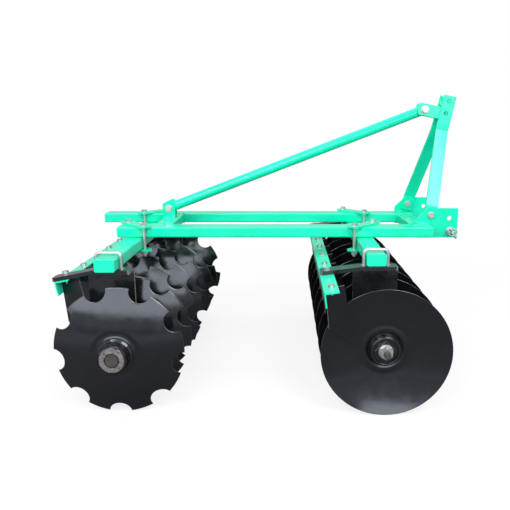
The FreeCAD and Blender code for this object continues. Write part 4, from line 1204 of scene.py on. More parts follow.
@dataclass
class Hitch:
    """The hitch plates with their link pins, and the mast that stands between them."""

    plate_chamfer: float = 45 * MM
    chain_hole: float = 10 * MM
    chain_hole_in: float = 34 * MM
    chain_hole_down: float = 42 * MM
    pin_radius: float = 11 * MM
    pin_rise: float = 28 * MM
    pin_in: float = 31 * MM
    pin_nose: Spot = (3 * MM, 4 * MM)
    collar_radius: float = 18 * MM
    collar: float = 8 * MM
    link_nut: float = 32 * MM
    lynch_in: float = 12 * MM
    lynch: LynchPin = LynchPin()
    bar_width: float = 52 * MM
    bar: float = 12 * MM
    foot_rise: float = 37 * MM
    foot_tail: float = 30 * MM
    low_bend: float = 36 * MM
    high_bend: float = 150 * MM
    top_hole: float = 9.75 * MM
    top_holes: tuple[tuple[float, float], ...] = ((7 * MM, 22 * MM), (17 * MM, 73 * MM))
    bolt: Bolt = Bolt(washer=13.5 * MM, sheet=2.5 * MM, across=22 * MM)

    def foot(self, side: str) -> Vector:
        """The middle of a mast foot bolt's grip.

        Args:
            side: right or left.

        Returns:
            The point.
        """
        plate, beam = Bounds.of(f"{side}_hitch_plate"), Bounds.of("right_main_beam")
        setback = plate.low.x - Bounds.of("right_hitch_plate").low.x
        bolts = Bounds.of("mast_foot_bolts")
        right_x = bolts.high.x - Bolt().across / math.sqrt(3)
        return Vector((right_x + setback, plate.centre.y, beam.high.z + self.foot_rise))

    def hitch_plate(self, side: str) -> None:
        """A hitch plate with its cut corner and three holes.

        Args:
            side: right or left.
        """
        room = Bounds.of(f"{side}_hitch_plate")
        setback = room.low.x - Bounds.of("right_hitch_plate").low.x
        outline = rounded([(room.low.x, room.low.z), (room.high.x, room.low.z), (room.high.x, room.high.z),
                           (room.low.x + self.plate_chamfer, room.high.z),
                           (room.low.x, room.high.z - self.plate_chamfer)], 2.5 * MM, 3)
        foot = self.foot(side)
        chain_x = room.high.x - self.chain_hole_in + setback
        holes = [(chain_x, room.high.z - self.chain_hole_down, self.chain_hole),
                 (room.high.x - self.pin_in, room.low.z + self.pin_rise, self.pin_radius),
                 (foot.x, foot.z, self.bolt.radius)]
        solid = Solid()
        solid.plate(outline, room.size.y, Toward.RIGHT.matrix((0, room.centre.y, 0)), holes)
        solid.piece(f"{side}_hitch_plate_cut", GREEN, f"{side}_hitch_plate", edge=1 * MM)

    def link_pin(self, side: str, outward: Toward) -> None:
        """A lower link pin with its collar and hexagon, and the lynch pin that hangs through it.

        Args:
            side: right or left.
            outward: the direction in which it points.
        """
        room, plate = Bounds.of(f"{side}_lower_link_pin"), Bounds.of(f"{side}_hitch_plate")
        way = outward.vector
        x = plate.high.x - self.pin_in
        z = plate.low.z + self.pin_rise
        face = plate.low.y if way.y < 0 else plate.high.y
        back = plate.high.y if way.y < 0 else plate.low.y
        tip = room.low.y if way.y < 0 else room.high.y
        length = abs(tip - back)
        solid = Solid()
        cut, nose = self.pin_nose
        solid.turned([(self.pin_radius, 0), (self.pin_radius, length - nose),
                      (self.pin_radius - cut, length)], outward.matrix((x, back, z)))
        wide = self.collar_radius
        solid.turned([(wide - MM, 0), (wide, MM), (wide, self.collar - MM), (wide - MM, self.collar)],
                     outward.matrix((x, face, z)))
        inner = abs(room.high.y - back) if way.y < 0 else abs(room.low.y - back)
        inside = outward.matrix((x, back, z)) @ Matrix.Rotation(math.pi, 4, "X")
        solid.hexagon(self.link_nut, inner, inside, both=True)
        solid.piece(f"{side}_link_pin_turned", ZINC, f"{side}_lower_link_pin", edge=0.5 * MM)
        self.lynch.build(f"{side}_lynch_pin", Vector((x, tip - way.y * self.lynch_in, z)), way)

    def mast_bar(self, side: str, inward: int) -> None:
        """A flat bar bent twice, from its foot bolt up to the top link holes.

        Args:
            side: right or left.
            inward: 1 where the mast's middle is to the left of the bar, and -1 otherwise.
        """
        room = Bounds.of(f"{side}_mast_bar")
        foot = self.foot(side)
        foot.y = (room.low.y if inward > 0 else room.high.y) + inward * self.bar / 2
        top_y = (room.high.y if inward > 0 else room.low.y) - inward * self.bar / 2
        lean = self.lean(side)
        half = self.bar_width / 2
        top = Vector((room.high.x - half * math.cos(lean), top_y, room.high.z - half * math.sin(lean)))
        height = math.hypot(top.x - foot.x, top.z - foot.z)
        shift = abs(top_y - foot.y)
        slope = math.atan2(shift, height - self.high_bend - self.low_bend)
        slant = shift / math.sin(slope)
        length = self.low_bend + slant + self.high_bend
        path = BentPath(((self.low_bend, slope), (self.low_bend + slant, -slope)))
        outline = rounded([(-self.foot_tail, -half), (length, -half), (length, half), (-self.foot_tail, half)],
                          2 * MM, 2)
        holes = [(0, 0, self.bolt.radius)]
        for back, down in self.top_holes:
            along = length - (back * math.sin(lean) + down * math.cos(lean))
            holes.append((along, down * math.sin(lean) - back * math.cos(lean), self.top_hole))
        # The bar's own frame: along it, across it towards the front, and bent inwards.
        up = Vector((math.sin(lean), 0, math.cos(lean)))
        across = Vector((math.cos(lean), 0, -math.sin(lean)))
        bend = Vector((0, inward, 0))
        place = Matrix.Identity(4)
        for column, axis in enumerate((up, across, bend)):
            place.col[column][:3] = axis
        place.translation = foot
        solid = Solid()
        solid.bent(outline, self.bar, holes, path, place)
        solid.piece(f"{side}_mast_strap", GREEN, f"{side}_mast_bar", edge=1.0 * MM)

    def lean(self, side: str) -> float:
        """How far a mast bar leans forward, from its bounds.

        Args:
            side: right or left.

        Returns:
            The angle from upright.
        """
        room, foot = Bounds.of(f"{side}_mast_bar"), self.foot(side)
        lean = 0.2
        for _ in range(8):
            half = self.bar_width / 2
            top_x = room.high.x - half * math.cos(lean)
            top_z = room.high.z - half * math.sin(lean)
            lean = math.atan2(top_x - foot.x, top_z - foot.z)
        return lean

    def build(self) -> None:
        """Make the hitch's pieces."""
        for side, outward, inward in (("right", Toward.RIGHT, 1), ("left", Toward.LEFT, -1)):
            self.hitch_plate(side)
            self.link_pin(side, outward)
            self.mast_bar(side, inward)
        solid = Solid()
        heads = {"right": Bounds.of("right_hitch_plate").low.y,
                 "left": Bounds.of("left_mast_bar").high.y - self.bar}
        for side, y in heads.items():
            foot = self.foot(side)
            solid.bolt(Toward.LEFT.matrix((foot.x, y, foot.z)), self.bolt, 2 * self.bar)
        solid.piece("mast_foot_bolt_set", ZINC, "mast_foot_bolts")


@dataclass
class Brace:
    """The round brace between the mast and the rear cross member, with its lugs and bolts."""

    radius: float = 21 * MM
    wall: float = 3.5 * MM
    past: float = 22 * MM
    lug: float = 6 * MM
    bolt: Bolt = Bolt(washer=17 * MM, sheet=3 * MM, across=26 * MM)
    mast_lug_height: float = 50 * MM
    mast_lug_tail: float = 30 * MM
    mast_lug_nose: float = 73 * MM
    rear_lug_peak: float = 13.5 * MM
    rear_lug_shoulder: float = 62 * MM
    chamfer: float = 0.7 * MM

    def ends(self) -> tuple[Vector, Vector]:
        """The middles of the rear and the front bolt.

        Returns:
            The two points.
        """
        room = Bounds.of("brace_bolts")
        corner = Bolt().across / math.sqrt(3)
        flat = Bolt().across / 2
        middle = Bounds.of("mast_brace_lugs").centre.y
        return (Vector((room.low.x + corner, middle, room.low.z + flat)),
                Vector((room.high.x - corner, middle, room.high.z - flat)))

    def lugs(self, hitch: Hitch) -> None:
        """The pair of lugs on the mast and the pair on the rear cross member.

        Args:
            hitch: the hitch, for the mast's lean.
        """
        rear, front = self.ends()
        room = Bounds.of("mast_brace_lugs")
        lean = hitch.lean("right")
        half = self.mast_lug_height / 2
        nip = half / 3
        outline = [(-self.mast_lug_tail + nip, -half), (self.mast_lug_nose, -half), (self.mast_lug_nose, half),
                   (-self.mast_lug_tail + nip, half), (-self.mast_lug_tail, half - nip),
                   (-self.mast_lug_tail, nip - half)]
        solid = Solid()
        for y in (room.low.y + self.lug / 2, room.high.y - self.lug / 2):
            place = Toward.RIGHT.matrix((front.x, y, front.z)) @ Matrix.Rotation(-lean, 4, "Z")
            solid.plate(rounded(outline, 2 * MM, 2), self.lug, place, [(0, 0, self.bolt.radius)])
        solid.piece("mast_lug_pair", GREEN, "mast_brace_lugs", edge=0.8 * MM)

        room = Bounds.of("rear_brace_lugs")
        wide = room.size.x / 2
        shoulder = room.low.z + self.rear_lug_shoulder
        outline = [(-wide, room.low.z), (wide, room.low.z), (wide, shoulder), (self.rear_lug_peak, room.high.z),
                   (-wide, shoulder)]
        outline = [(u + room.centre.x, v) for u, v in rounded(outline, 3 * MM, 3)]
        solid = Solid()
        for y in (room.low.y + self.lug / 2, room.high.y - self.lug / 2):
            solid.plate(outline, self.lug, Toward.RIGHT.matrix((0, y, 0)), [(rear.x, rear.z, self.bolt.radius)])
        solid.piece("rear_lug_pair", GREEN, "rear_brace_lugs", edge=0.8 * MM)
        lines = []
        for y in (room.low.y, room.low.y + self.lug, room.high.y - self.lug, room.high.y):
            lines.append([Vector((x, y, room.low.z)) for x in (room.low.x, room.high.x)])
        settle(welds("lug_welds", lines, GREEN, 5.5 * MM, 5.0), FRAME_BODY, GREEN.slot)

    def tube(self) -> None:
        """The brace tube, open at both ends."""
        rear, front = self.ends()
        along = (front - rear).normalized()
        start = rear - along * self.past
        length = (front - rear).length + 2 * self.past
        place = Matrix.Translation(start) @ along.to_track_quat("Z", "Y").to_matrix().to_4x4()
        inner = self.radius - self.wall
        solid = Solid()
        edge = self.chamfer
        solid.turned([(inner, 0), (self.radius - edge, 0), (self.radius, edge), (self.radius, length - edge),
                      (self.radius - edge, length), (inner, length)], place, 64, looped=True)
        solid.piece("brace_pipe", GREEN, "brace_tube")

    def build(self, hitch: Hitch) -> None:
        """Make the brace's pieces.

        Args:
            hitch: the hitch, for the mast's lean.
        """
        self.lugs(hitch)
        self.tube()
        room = Bounds.of("mast_brace_lugs")
        solid = Solid()
        for end in self.ends():
            solid.bolt(Toward.LEFT.matrix((end.x, room.low.y, end.z)), self.bolt, room.size.y)
        solid.piece("brace_bolt_set", ZINC, "brace_bolts")


# ---- clamps

@dataclass
class Clamps:
    """The straps and long bolts that hold the gang beams under the main beams."""

    width: float = 48 * MM
    past: float = 24 * MM
    gap: float = 2 * MM
    bolt: Bolt = Bolt(radius=7 * MM, across=22 * MM, head=9 * MM, nut=12 * MM, washer=13 * MM, sheet=2 * MM,
                      tail=8 * MM)

    def build(self) -> None:
        """Make all four clamps."""
        upper, lower = Bounds.of("upper_clamp_straps"), Bounds.of("lower_clamp_straps")
        upper_straps, lower_straps, heads = Solid(), Solid(), []
        turns = {("front", "right"): 1, ("rear", "right"): -1, ("front", "left"): -1, ("rear", "left"): 1}
        for (gang, side), hand in turns.items():
            tube, beam = Bounds.of(f"{gang}_gang_beam"), Bounds.of(f"{side}_main_beam")
            reach_x = tube.size.x / 2 + self.gap + self.bolt.radius
            reach_y = beam.size.y / 2 + self.gap + self.bolt.radius
            run = math.hypot(reach_x, reach_y)
            half = run + self.past
            wide = self.width / 2
            nip = wide / 3
            outline = [(-half, nip - wide), (nip - half, -wide), (half - nip, -wide), (half, nip - wide),
                       (half, wide - nip), (half - nip, wide), (nip - half, wide), (-half, wide - nip)]
            holes = [(end * run, 0, self.bolt.radius) for end in (-1, 1)]
            turn = Matrix.Rotation(hand * math.atan2(reach_y, reach_x), 4, "Z")
            for straps, room in ((upper_straps, upper), (lower_straps, lower)):
                middle = Vector((tube.centre.x, beam.centre.y, room.centre.z))
                place = Matrix.Translation(middle) @ turn
                straps.plate(rounded(outline, 3 * MM, 3), room.size.z, place, holes)
            for end in (-1, 1):
                heads.append(Toward.DOWN.matrix((tube.centre.x + end * reach_x,
                                                 beam.centre.y + hand * end * reach_y, upper.high.z)))
        upper_straps.piece("upper_straps", GREEN, "upper_clamp_straps", edge=1 * MM)
        lower_straps.piece("lower_straps", GREEN, "lower_clamp_straps", edge=1 * MM)
        made = bolts("clamp_bolt_set", self.bolt, upper.high.z - lower.low.z, heads)
        settle(made, FRAME_BODY, ZINC.slot, "clamp_bolts")


# ---- gangs

@dataclass(frozen=True)
class Gang:
    """Where one gang's shaft lies and which way its nut points.

    Places along the shaft are measured from the disc at the nut towards the head. hand is 1 where
    the nut is on the right, and -1 where it is on the left.
    """

    name: str
    hand: int
    discs: int = 8
    pitch: float = 170 * MM
    disc_sheet: float = 3.5 * MM

    @property
    def body(self) -> str:
        """The body that turns on the shaft."""
        return f"{self.name}_gang"

    @property
    def axle(self) -> Vector:
        """The middle of the shaft, from the gang's joint."""
        return Vector(next(j["pos_m"] for j in frame["joints"] if j["child"] == self.body))

    @property
    def span(self) -> float:
        """From the first disc to the last."""
        return self.pitch * (self.discs - 1)

    @property
    def away(self) -> Toward:
        """The direction from the nut to the head."""
        return Toward.LEFT if self.hand > 0 else Toward.RIGHT

    @property
    def home(self) -> Toward:
        """The direction from the head to the nut."""
        return Toward.RIGHT if self.hand > 0 else Toward.LEFT

    @property
    def bearings(self) -> list[tuple[str, float, int]]:
        """The side, the place and the way inwards of each bearing."""
        middle = (self.pitch - self.disc_sheet) / 2
        sides = ("right", "left") if self.hand > 0 else ("left", "right")
        return [(sides[0], middle, 1), (sides[1], self.span - self.pitch + middle, -1)]

    def at(self, along: float) -> Vector:
        """A place on the shaft."""
        return self.axle + self.away.vector * (along - self.span / 2)


@dataclass
class GangCarrier:
    """What holds one gang: its beam, hangers, U-bolts, bearings, scraper bar and scrapers."""

    gang: Gang
    droop: float
    bar_back: float
    yaw: float
    blade_taper: float
    end_plate: float = 4 * MM
    beam_corner: float = 7 * MM
    beam_back: float = 28.5 * MM
    arm: float = 14 * MM
    arm_width: float = 60 * MM
    arm_front: float = 48 * MM
    knee: float = 84 * MM
    plate: float = 12 * MM
    plate_in: float = 17 * MM
    plate_front: float = 54 * MM
    plate_rear: float = 107 * MM
    plate_waist: float = 150 * MM
    plate_foot: float = 66 * MM
    housing: float = 50 * MM
    flange: float = 62 * MM
    flange_sheet: float = 8 * MM
    housing_half: float = 25 * MM
    journal: float = 30.1 * MM
    u_radius: float = 6 * MM
    u_bend: float = 14 * MM
    u_half: float = 43 * MM
    u_sheet: float = 2 * MM
    u_washer: float = 11 * MM
    u_across: float = 18 * MM
    u_nut: float = 9.5 * MM
    u_thread: float = 1.75 * MM
    leg: float = 50 * MM
    leg_wall: float = 5 * MM
    clearance: float = 0.5 * MM
    bolt_share: float = 0.6
    bar_past: float = 65 * MM
    scraper_lead: float = 115 * MM
    tab_width: float = 40 * MM
    blade: float = 5 * MM
    blade_width: float = 71 * MM
    blade_knee: float = 148 * MM
    blade_reach: float = 224 * MM
    blade_hook: float = 32 * MM
    blade_forward: float = 13 * MM
    blade_tilt: float = 11.5
    scraper_bolt: Bolt = Bolt(radius=6 * MM, across=19 * MM, head=8 * MM, nut=10 * MM, washer=12 * MM,
                              sheet=2 * MM, tail=4 * MM, pitch=1.75 * MM)

    def named(self, piece: str) -> str:
        """A name with the gang's in front."""
        return f"{self.gang.name}_{piece}"

    @property
    def slope(self) -> float:
        """How far an arm falls towards its rear end, as an angle."""
        return math.atan2(self.droop, self.arm_rear - self.knee)

    @property
    def arm_rear(self) -> float:
        """From the shaft back to the end of an arm."""
        return self.gang.axle.x - Bounds.of(self.named("left_hanger")).low.x

    @property
    def arm_top(self) -> float:
        """Height of the arms' flat tops, which is that of the gang beam's underside."""
        return Bounds.of(self.named("gang_beam")).low.z

    def gang_beam(self) -> None:
        """The rounded tube under the main beams, with its ends closed."""
        node = self.named("gang_beam")
        room = Bounds.of(node).grown(y=self.end_plate)
        solid = Solid()
        start = Vector((room.centre.x, room.low.y, room.centre.z))
        section = rectangle(room.size.x, room.size.z, self.beam_corner)
        solid.prism(section, room.size.y, Toward.LEFT.matrix(start))
        solid.piece(self.named("gang_tube"), GREEN, node, edge=1.6 * MM, segments=3)

    def hangers(self) -> None:
        """Both hangers: the arm under the beam, and the upright plate welded beneath it."""
        axle, top = self.gang.axle, self.arm_top
        flat = self.arm_front + self.knee
        length = flat + (self.arm_rear - self.knee) / math.cos(self.slope)
        half = self.arm_width / 2
        outline = rounded([(0, -half), (length, -half), (length, half), (0, half)], 9 * MM, 5)
        bolt_along = flat + (self.bar_back - self.leg_middle - self.knee) / math.cos(self.slope)
        beam_along = self.arm_front + self.beam_back
        under = top - self.arm - axle.z
        fall = math.tan(self.slope) * (self.plate_rear - self.knee)
        foot = self.plate_foot
        upright = rounded([(-foot, 0), (-foot / 2, -foot), (foot / 2, -foot), (foot, 0),
                           (self.plate_front, self.plate_waist), (self.plate_front, under), (-self.knee, under),
                           (-self.plate_rear, under - fall), (-self.plate_rear, self.plate_waist)], 3 * MM, 3)
        lines = []
        for side, along, inward in self.gang.bearings:
            spot = self.gang.at(along)
            shift = self.arm_bolt_shift(along)
            holes = [(beam_along + end * self.u_half, 0, self.u_radius + self.clearance) for end in (-1, 1)]
            holes.append((bolt_along, self.gang.hand * shift, self.scraper_bolt.radius + self.clearance))
            place = Matrix(((-1, 0, 0, axle.x + self.arm_front), (0, 1, 0, spot.y),
                            (0, 0, -1, top - self.arm / 2), (0, 0, 0, 1)))
            solid = Solid()
            solid.bent(outline, self.arm, holes, BentPath(((flat, self.slope),)), place)
            middle = self.gang.at(along + inward * self.plate_in)
            solid.plate(upright, self.plate, Toward.RIGHT.matrix(middle), [(0, 0, self.housing)])
            node = self.named(f"{side}_hanger")
            solid.piece(f"{node}_plate", HANGER_BLACK, node, edge=3 * MM, segments=3)
            for face in (-1, 1):
                y = middle.y + face * self.plate / 2
                lines.append([Vector((axle.x + x, y, axle.z + z)) for x, z in
                              ((self.plate_front - 3 * MM, under), (-self.knee, under),
                               (3 * MM - self.plate_rear, under - fall))])
        settle(welds(self.named("hanger_welds"), lines, BLACK, 7 * MM, 3.0), FRAME_BODY, BLACK.slot)

    @property
    def leg_middle(self) -> float:
        """Middle of the scraper bar's flat leg, ahead of its rear edge."""
        return self.leg_wall + (self.leg - self.leg_wall) / 2

    def arm_bolt_shift(self, along: float) -> float:
        """How far from an arm's middle line the scraper bolt lies that also holds the bar to it."""
        places = [self.gang.pitch * k - self.scraper_lead for k in range(self.gang.discs)]
        nearest = min(places, key=lambda place: abs(place - along))
        return (nearest - along) * self.bolt_share

    def u_bolts(self) -> None:
        """The U-bolts over the beam, with black nuts and washers under the arm."""
        solid, feet = Solid(), Solid()
        beam = Bounds.of(self.named("gang_beam"))
        over = Bounds.of("hanger_u_bolts").high.z - self.u_radius
        tail = Bounds.of("hanger_u_bolts").low.z
        under = beam.low.z - self.arm
        for _, along, _ in self.gang.bearings:
            middle = Vector((beam.centre.x, self.gang.at(along).y, 0))
            half, bend, sheet = self.u_half, self.u_bend, self.u_sheet
            path = [middle + Vector((-half, 0, z)) for z in (under - sheet, beam.high.z)]
            for centre, first in ((bend - half, math.pi), (half - bend, math.pi / 2)):
                for k in range(9):
                    angle = first - math.pi / 2 * k / 8
                    path.append(middle + Vector((centre + bend * math.cos(angle), 0,
                                                 over - bend + bend * math.sin(angle))))
            path += [middle + Vector((half, 0, z)) for z in (beam.high.z, under - sheet)]
            solid.sweep(path, [(p.x, p.y) for p in circle(self.u_radius, 20)])
            for end in (-1, 1):
                spot = middle + Vector((end * half, 0, under))
                down = Toward.DOWN.matrix(spot)
                feet.washer(self.u_washer, self.u_radius, sheet, down)
                feet.hexagon(self.u_across, self.u_nut, down @ raised(sheet), both=True)
                feet.thread(self.u_radius, under - tail - 1 * MM, self.u_thread, down)
                up = Matrix.Translation(spot + Vector((0, 0, self.arm)))
                solid.washer(self.u_washer - 1 * MM, self.u_radius, sheet, up)
        solid.piece(self.named("u_bolt_pair"), ZINC, "hanger_u_bolts")
        feet.piece(self.named("u_bolt_feet"), BLACK)

    def bearings(self) -> None:
        """The bearing housings in the hanger plates."""
        face = self.plate_in - self.plate / 2
        back = face - self.flange_sheet
        edge = 1.5 * MM
        half, inner, outer = self.housing_half, self.journal, self.housing
        profile = [(inner, -half), (outer - edge, -half), (outer, edge - half), (outer, back),
                   (self.flange - edge, back), (self.flange, back + edge), (self.flange, face), (outer, face),
                   (outer, half - edge), (outer - edge, half), (inner, half)]
        for side, along, inward in self.gang.bearings:
            node = self.named(f"{side}_bearing")
            way = self.gang.away if inward > 0 else self.gang.home
            solid = Solid()
            solid.turned(profile, way.matrix(self.gang.at(along)), 72, looped=True)
            solid.piece(f"{node}_housing", CAST, node, edge=0.8 * MM)

    def bar_place(self, y: float) -> Matrix:
        """The frame of the scraper bar's upper rear edge: X forward along the slope, Z up from it."""
        x = self.gang.axle.x - self.bar_back
        z = self.arm_top - self.arm - math.tan(self.slope) * (self.bar_back - self.knee)
        return Matrix.Translation((x, y, z)) @ Matrix.Rotation(-self.slope, 4, "Y")

    def scraper_bar(self) -> None:
        """The angle iron under the ends of the arms."""
        length = self.gang.span + 2 * self.bar_past
        middle = self.gang.at(self.gang.span / 2 - self.scraper_lead).y
        upright = Matrix.Rotation(math.pi / 2, 4, "X")
        leg, wall = self.leg, self.leg_wall
        heel = rounded([(0, -leg), (wall, -leg), (wall, -wall), (leg, -wall), (leg, 0), (0, 0)], 2 * MM, 3)
        solid = Solid()
        solid.prism(heel, length, self.bar_place(middle + length / 2) @ upright)
        node = self.named("scraper_bar")
        solid.piece(self.named("scraper_angle"), GREEN, node, edge=0.8 * MM)

    def scrapers(self) -> None:
        """The bent scrapers under the bar, and the bolts that hold them."""
        hand = self.gang.hand
        under = -self.leg_wall
        top = under - self.blade / 2
        near = self.blade_width / 2
        tab_length = self.leg - self.leg_wall - MM
        outline = rounded([(-near, 0), (self.blade_taper - near, -self.blade_knee),
                           (near + self.blade_hook, -self.blade_reach), (near, 0)], 1.5 * MM, 2)
        half = self.tab_width / 2
        tab = rounded([(0, -half), (tab_length, -half), (tab_length, half), (0, half)], 2 * MM, 3)
        aim = Matrix.Rotation(math.radians(hand * self.yaw), 4, "Z") @ \
            Matrix.Rotation(math.radians(hand * self.blade_tilt), 4, "X") @ Toward.RIGHT.matrix((0, 0, 0))
        solid = Solid()
        short, long = [], []
        for k in range(self.gang.discs):
            along = self.gang.pitch * k - self.scraper_lead
            place = self.bar_place(self.gang.at(along).y)
            solid.plate(tab, self.blade, place @ Matrix.Translation((self.leg_wall + MM, 0, top)),
                        [(self.leg_middle - self.leg_wall - MM, 0, self.scraper_bolt.radius)])
            solid.plate(outline, self.blade, place @ Matrix.Translation(
                (self.leg_middle + self.blade_forward, hand * half, top)) @ aim)
            over, shift, heads = 0.0, 0.0, short
            for _, arm_along, _ in self.gang.bearings:
                if abs(arm_along - along) < self.arm_width / 2:
                    over, heads = self.arm, long
                    shift = hand * (arm_along + self.arm_bolt_shift(arm_along) - along)
            spot = place @ Matrix.Translation((self.leg_middle, shift, over)) @ Matrix.Rotation(math.pi, 4, "X")
            spin = Matrix.Rotation(CHANCE.uniform(0, math.pi / 3), 4, "Z")
            heads.append(spot @ spin)
        node = self.named("scrapers")
        flat, bent = self.bar_place(0), self.bar_place(0) @ aim
        # The blade's edges are painted lighter: partly wear, partly a painted highlight.
        finish = replace(BLACK, name=self.named("blade_black"), worn_and_highlit_edge=(0.16, 0.16, 0.165),
                         faces=(tuple(flat.col[2][:3]), tuple(bent.col[2][:3])))
        solid.piece(self.named("scraper_blades"), finish, node, edge=2.2 * MM)
        for name, over, heads in (("scraper_bolts", 0.0, short), ("arm_bolts", self.arm, long)):
            made = bolts(self.named(name), self.scraper_bolt, over + self.leg_wall + self.blade, heads)
            settle(made, FRAME_BODY, ZINC.slot)

    def build(self) -> None:
        """Make the carrier's pieces."""
        self.gang_beam()
        self.hangers()
        self.u_bolts()
        self.bearings()
        self.scraper_bar()
        self.scrapers()


@dataclass
class DiscGang:
    """What turns with one shaft: discs, spools, end castings, the shaft and its nut."""

    gang: Gang
    notches: int = 0
    quarters: tuple[int, ...] = (2, 0, 3, 1, 0, 2, 1, 0)
    phase: float = 111.5
    notch_radius: float = 40 * MM
    notch_out: float = 2 * MM
    radius: float = 230 * MM
    flat: float = 72 * MM
    dish: float = 45 * MM
    bore: float = 21 * MM
    spool_end: float = 58 * MM
    spool_rim: float = 7 * MM
    spool: float = 37 * MM
    flare: float = 34 * MM
    journal: float = 30 * MM
    journal_from: float = 52 * MM
    shaft_side: float = 28 * MM
    casting_bore: float = 20.16 * MM
    cap: float = 52 * MM
    cap_sink: float = 4 * MM
    step_from: float = 60 * MM
    step_wide: float = 11 * MM
    step: float = 3.2 * MM
    step_fade: float = 14 * MM
    ground_notched: float = 2.2 * MM
    ground_plain: float = 1.1 * MM
    thread: float = 12 * MM
    thread_from: float = 27.5 * MM
    thread_length: float = 51.5 * MM
    thread_pitch: float = 2.5 * MM
    washer_at: float = 20.5 * MM
    washer_side: float = 55 * MM
    washer_sheet: float = 7 * MM
    washer_hole: float = 20.3 * MM
    round_washer: float = 26 * MM
    round_sheet: float = 4 * MM
    nut_across: float = 41 * MM
    nut: float = 20 * MM

    def named(self, piece: str) -> str:
        """A name with the gang's in front."""
        return f"{self.gang.name}_{piece}"

    def height(self, reach: float) -> float:
        """How far the disc's round side lies behind its flat centre, at some radius."""
        if reach <= self.flat:
            return 0.0
        drop = (self.radius ** 2 + self.dish ** 2 - self.flat ** 2) / (2 * self.dish)
        return math.sqrt(drop ** 2 + self.flat ** 2 - reach ** 2) - drop

    def pressed(self, reach: float) -> float:
        """How far the pressed step round the flat centre stands out on the hollow side, at some radius."""
        share = min(1.0, max(0.0, (reach - self.step_from) / self.step_wide))
        fade = min(1.0, max(0.0, (reach - self.flat - 4 * MM) / self.step_fade))
        return self.step * share * share * (3 - 2 * share) * (1 - fade)

    def rim(self, number: int) -> list[Spot]:
        """The rim as (angle, radius) spots.

        Args:
            number: the disc's number from the nut.

        Returns:
            Spots once round, with the notches where the disc has any.
        """
        if not self.notches:
            return [(math.tau * i / 168, self.radius) for i in range(168)]
        out = self.radius + self.notch_out
        cut = self.notch_radius
        swing = math.acos((out ** 2 + cut ** 2 - self.radius ** 2) / (2 * out * cut))
        half = math.asin(cut * math.sin(swing) / self.radius)
        first = math.radians(self.phase + 90 * self.quarters[number])
        if self.gang.hand < 0:
            first = math.pi - first
        pitch = math.tau / self.notches
        spots = []
        for n in range(self.notches):
            middle = first + pitch * n
            for k in range(17):
                turn = swing * (k / 8 - 1)
                spot = Vector((out - cut * math.cos(turn), cut * math.sin(turn)))
                spots.append((middle + math.atan2(spot.y, spot.x), spot.length))
            spots += [(middle + half + (pitch - 2 * half) * k / 8, self.radius) for k in range(1, 8)]
        return spots

    def disc(self, number: int) -> None:
        """A dished disc with a ground edge.

        Args:
            number: the disc's number from the nut.
        """
        centre = self.gang.at(self.gang.pitch * number)
        away = self.gang.away.vector
        rim = self.rim(number)
        edge, bevel = 0.4 * MM, 2.0 * MM
        ground = self.ground_notched if self.notches else self.ground_plain

        def ring(reach_of: Callable[[float], float], behind: float) -> Ring:
            """A ring of the disc's surface.

            Args:
                reach_of: the ring's radius from the rim's radius.
                behind: its distance behind the round side.

            Returns:
                The ring's points.
            """
            points = []
            for angle, outer in rim:
                reach = reach_of(outer)
                points.append(centre + Vector((reach * math.cos(angle), 0, reach * math.sin(angle))) +
                              away * (self.height(reach) - self.pressed(reach) - behind))
            return points

        sheet = self.gang.disc_sheet
        inner = [self.bore, self.step_from - MM] + [self.step_from + k * 2 * MM for k in range(15)]
        start = self.step_from + 30 * MM
        steps = 14
        reaches = [lambda outer, r=r: r for r in inner]
        reaches += [lambda outer, k=k: start + (outer - ground - bevel - start) * k / steps
                    for k in range(steps + 1)]
        reaches.append(lambda outer: outer - ground)
        front, back = 0.9 * MM, sheet - 0.2 * MM
        top = [ring(reach, 0) for reach in reaches] + [ring(lambda outer: outer - edge, front)]
        low = [ring(reach, sheet) for reach in reaches] + [ring(lambda outer: outer - edge, back)]
        middle = [ring(lambda outer: outer, front + edge), ring(lambda outer: outer, back - edge)]
        solid = Solid()
        bright = solid.mesh.verts.layers.float.new("ground")
        rows = solid.loft(top + middle + low[::-1], looped=True)
        rim_rows = len(top) - 1
        for row_of in rows[rim_rows:rim_rows + 4]:
            for vert in row_of:
                vert[bright] = 1.0
        node = self.named(f"disc_{number + 1}")
        solid.piece(f"{node}_dish", DISC_BLACK, node, body=self.gang.body)

    def spools(self) -> None:
        """The cast spools, and the half spools that carry the journals."""
        sheet = self.gang.disc_sheet
        length = self.gang.pitch - sheet
        rim, edge = self.spool_rim, 1.2 * MM
        bore = self.casting_bore
        end = [(bore, 0), (self.spool_end - edge, 0), (self.spool_end, edge), (self.spool_end, rim - edge),
               (self.spool_end - edge, rim)]
        count = 8
        for k in range(1, count + 1):
            share = k / count
            end.append((self.spool_end - edge + (self.spool - self.spool_end + edge) * share,
                        rim + self.flare * (share + 0.10 * math.sin(math.pi * share))))
        full = end + [(r, length - h) for r, h in end[::-1]]
        middle = length / 2 - 0.05 * MM
        half = end + [(self.spool, self.journal_from - edge), (self.spool - edge, self.journal_from),
                      (self.journal, self.journal_from), (self.journal, middle), (bore, middle)]
        spools, halves = Solid(), Solid()
        for k in range(self.gang.discs - 1):
            start = self.gang.pitch * k
            if k in (0, self.gang.discs - 2):
                halves.turned(half, self.gang.away.matrix(self.gang.at(start)), 64, looped=True)
                halves.turned(half, self.gang.home.matrix(self.gang.at(start + length)), 64, looped=True)
            else:
                spools.turned(full, self.gang.away.matrix(self.gang.at(start)), 64, looped=True)
        spools.piece(self.named("cast_spools"), CAST, self.named("spools"), body=self.gang.body)
        halves.piece(self.named("journal_spools"), CAST, self.named("bearing_spools"), body=self.gang.body)

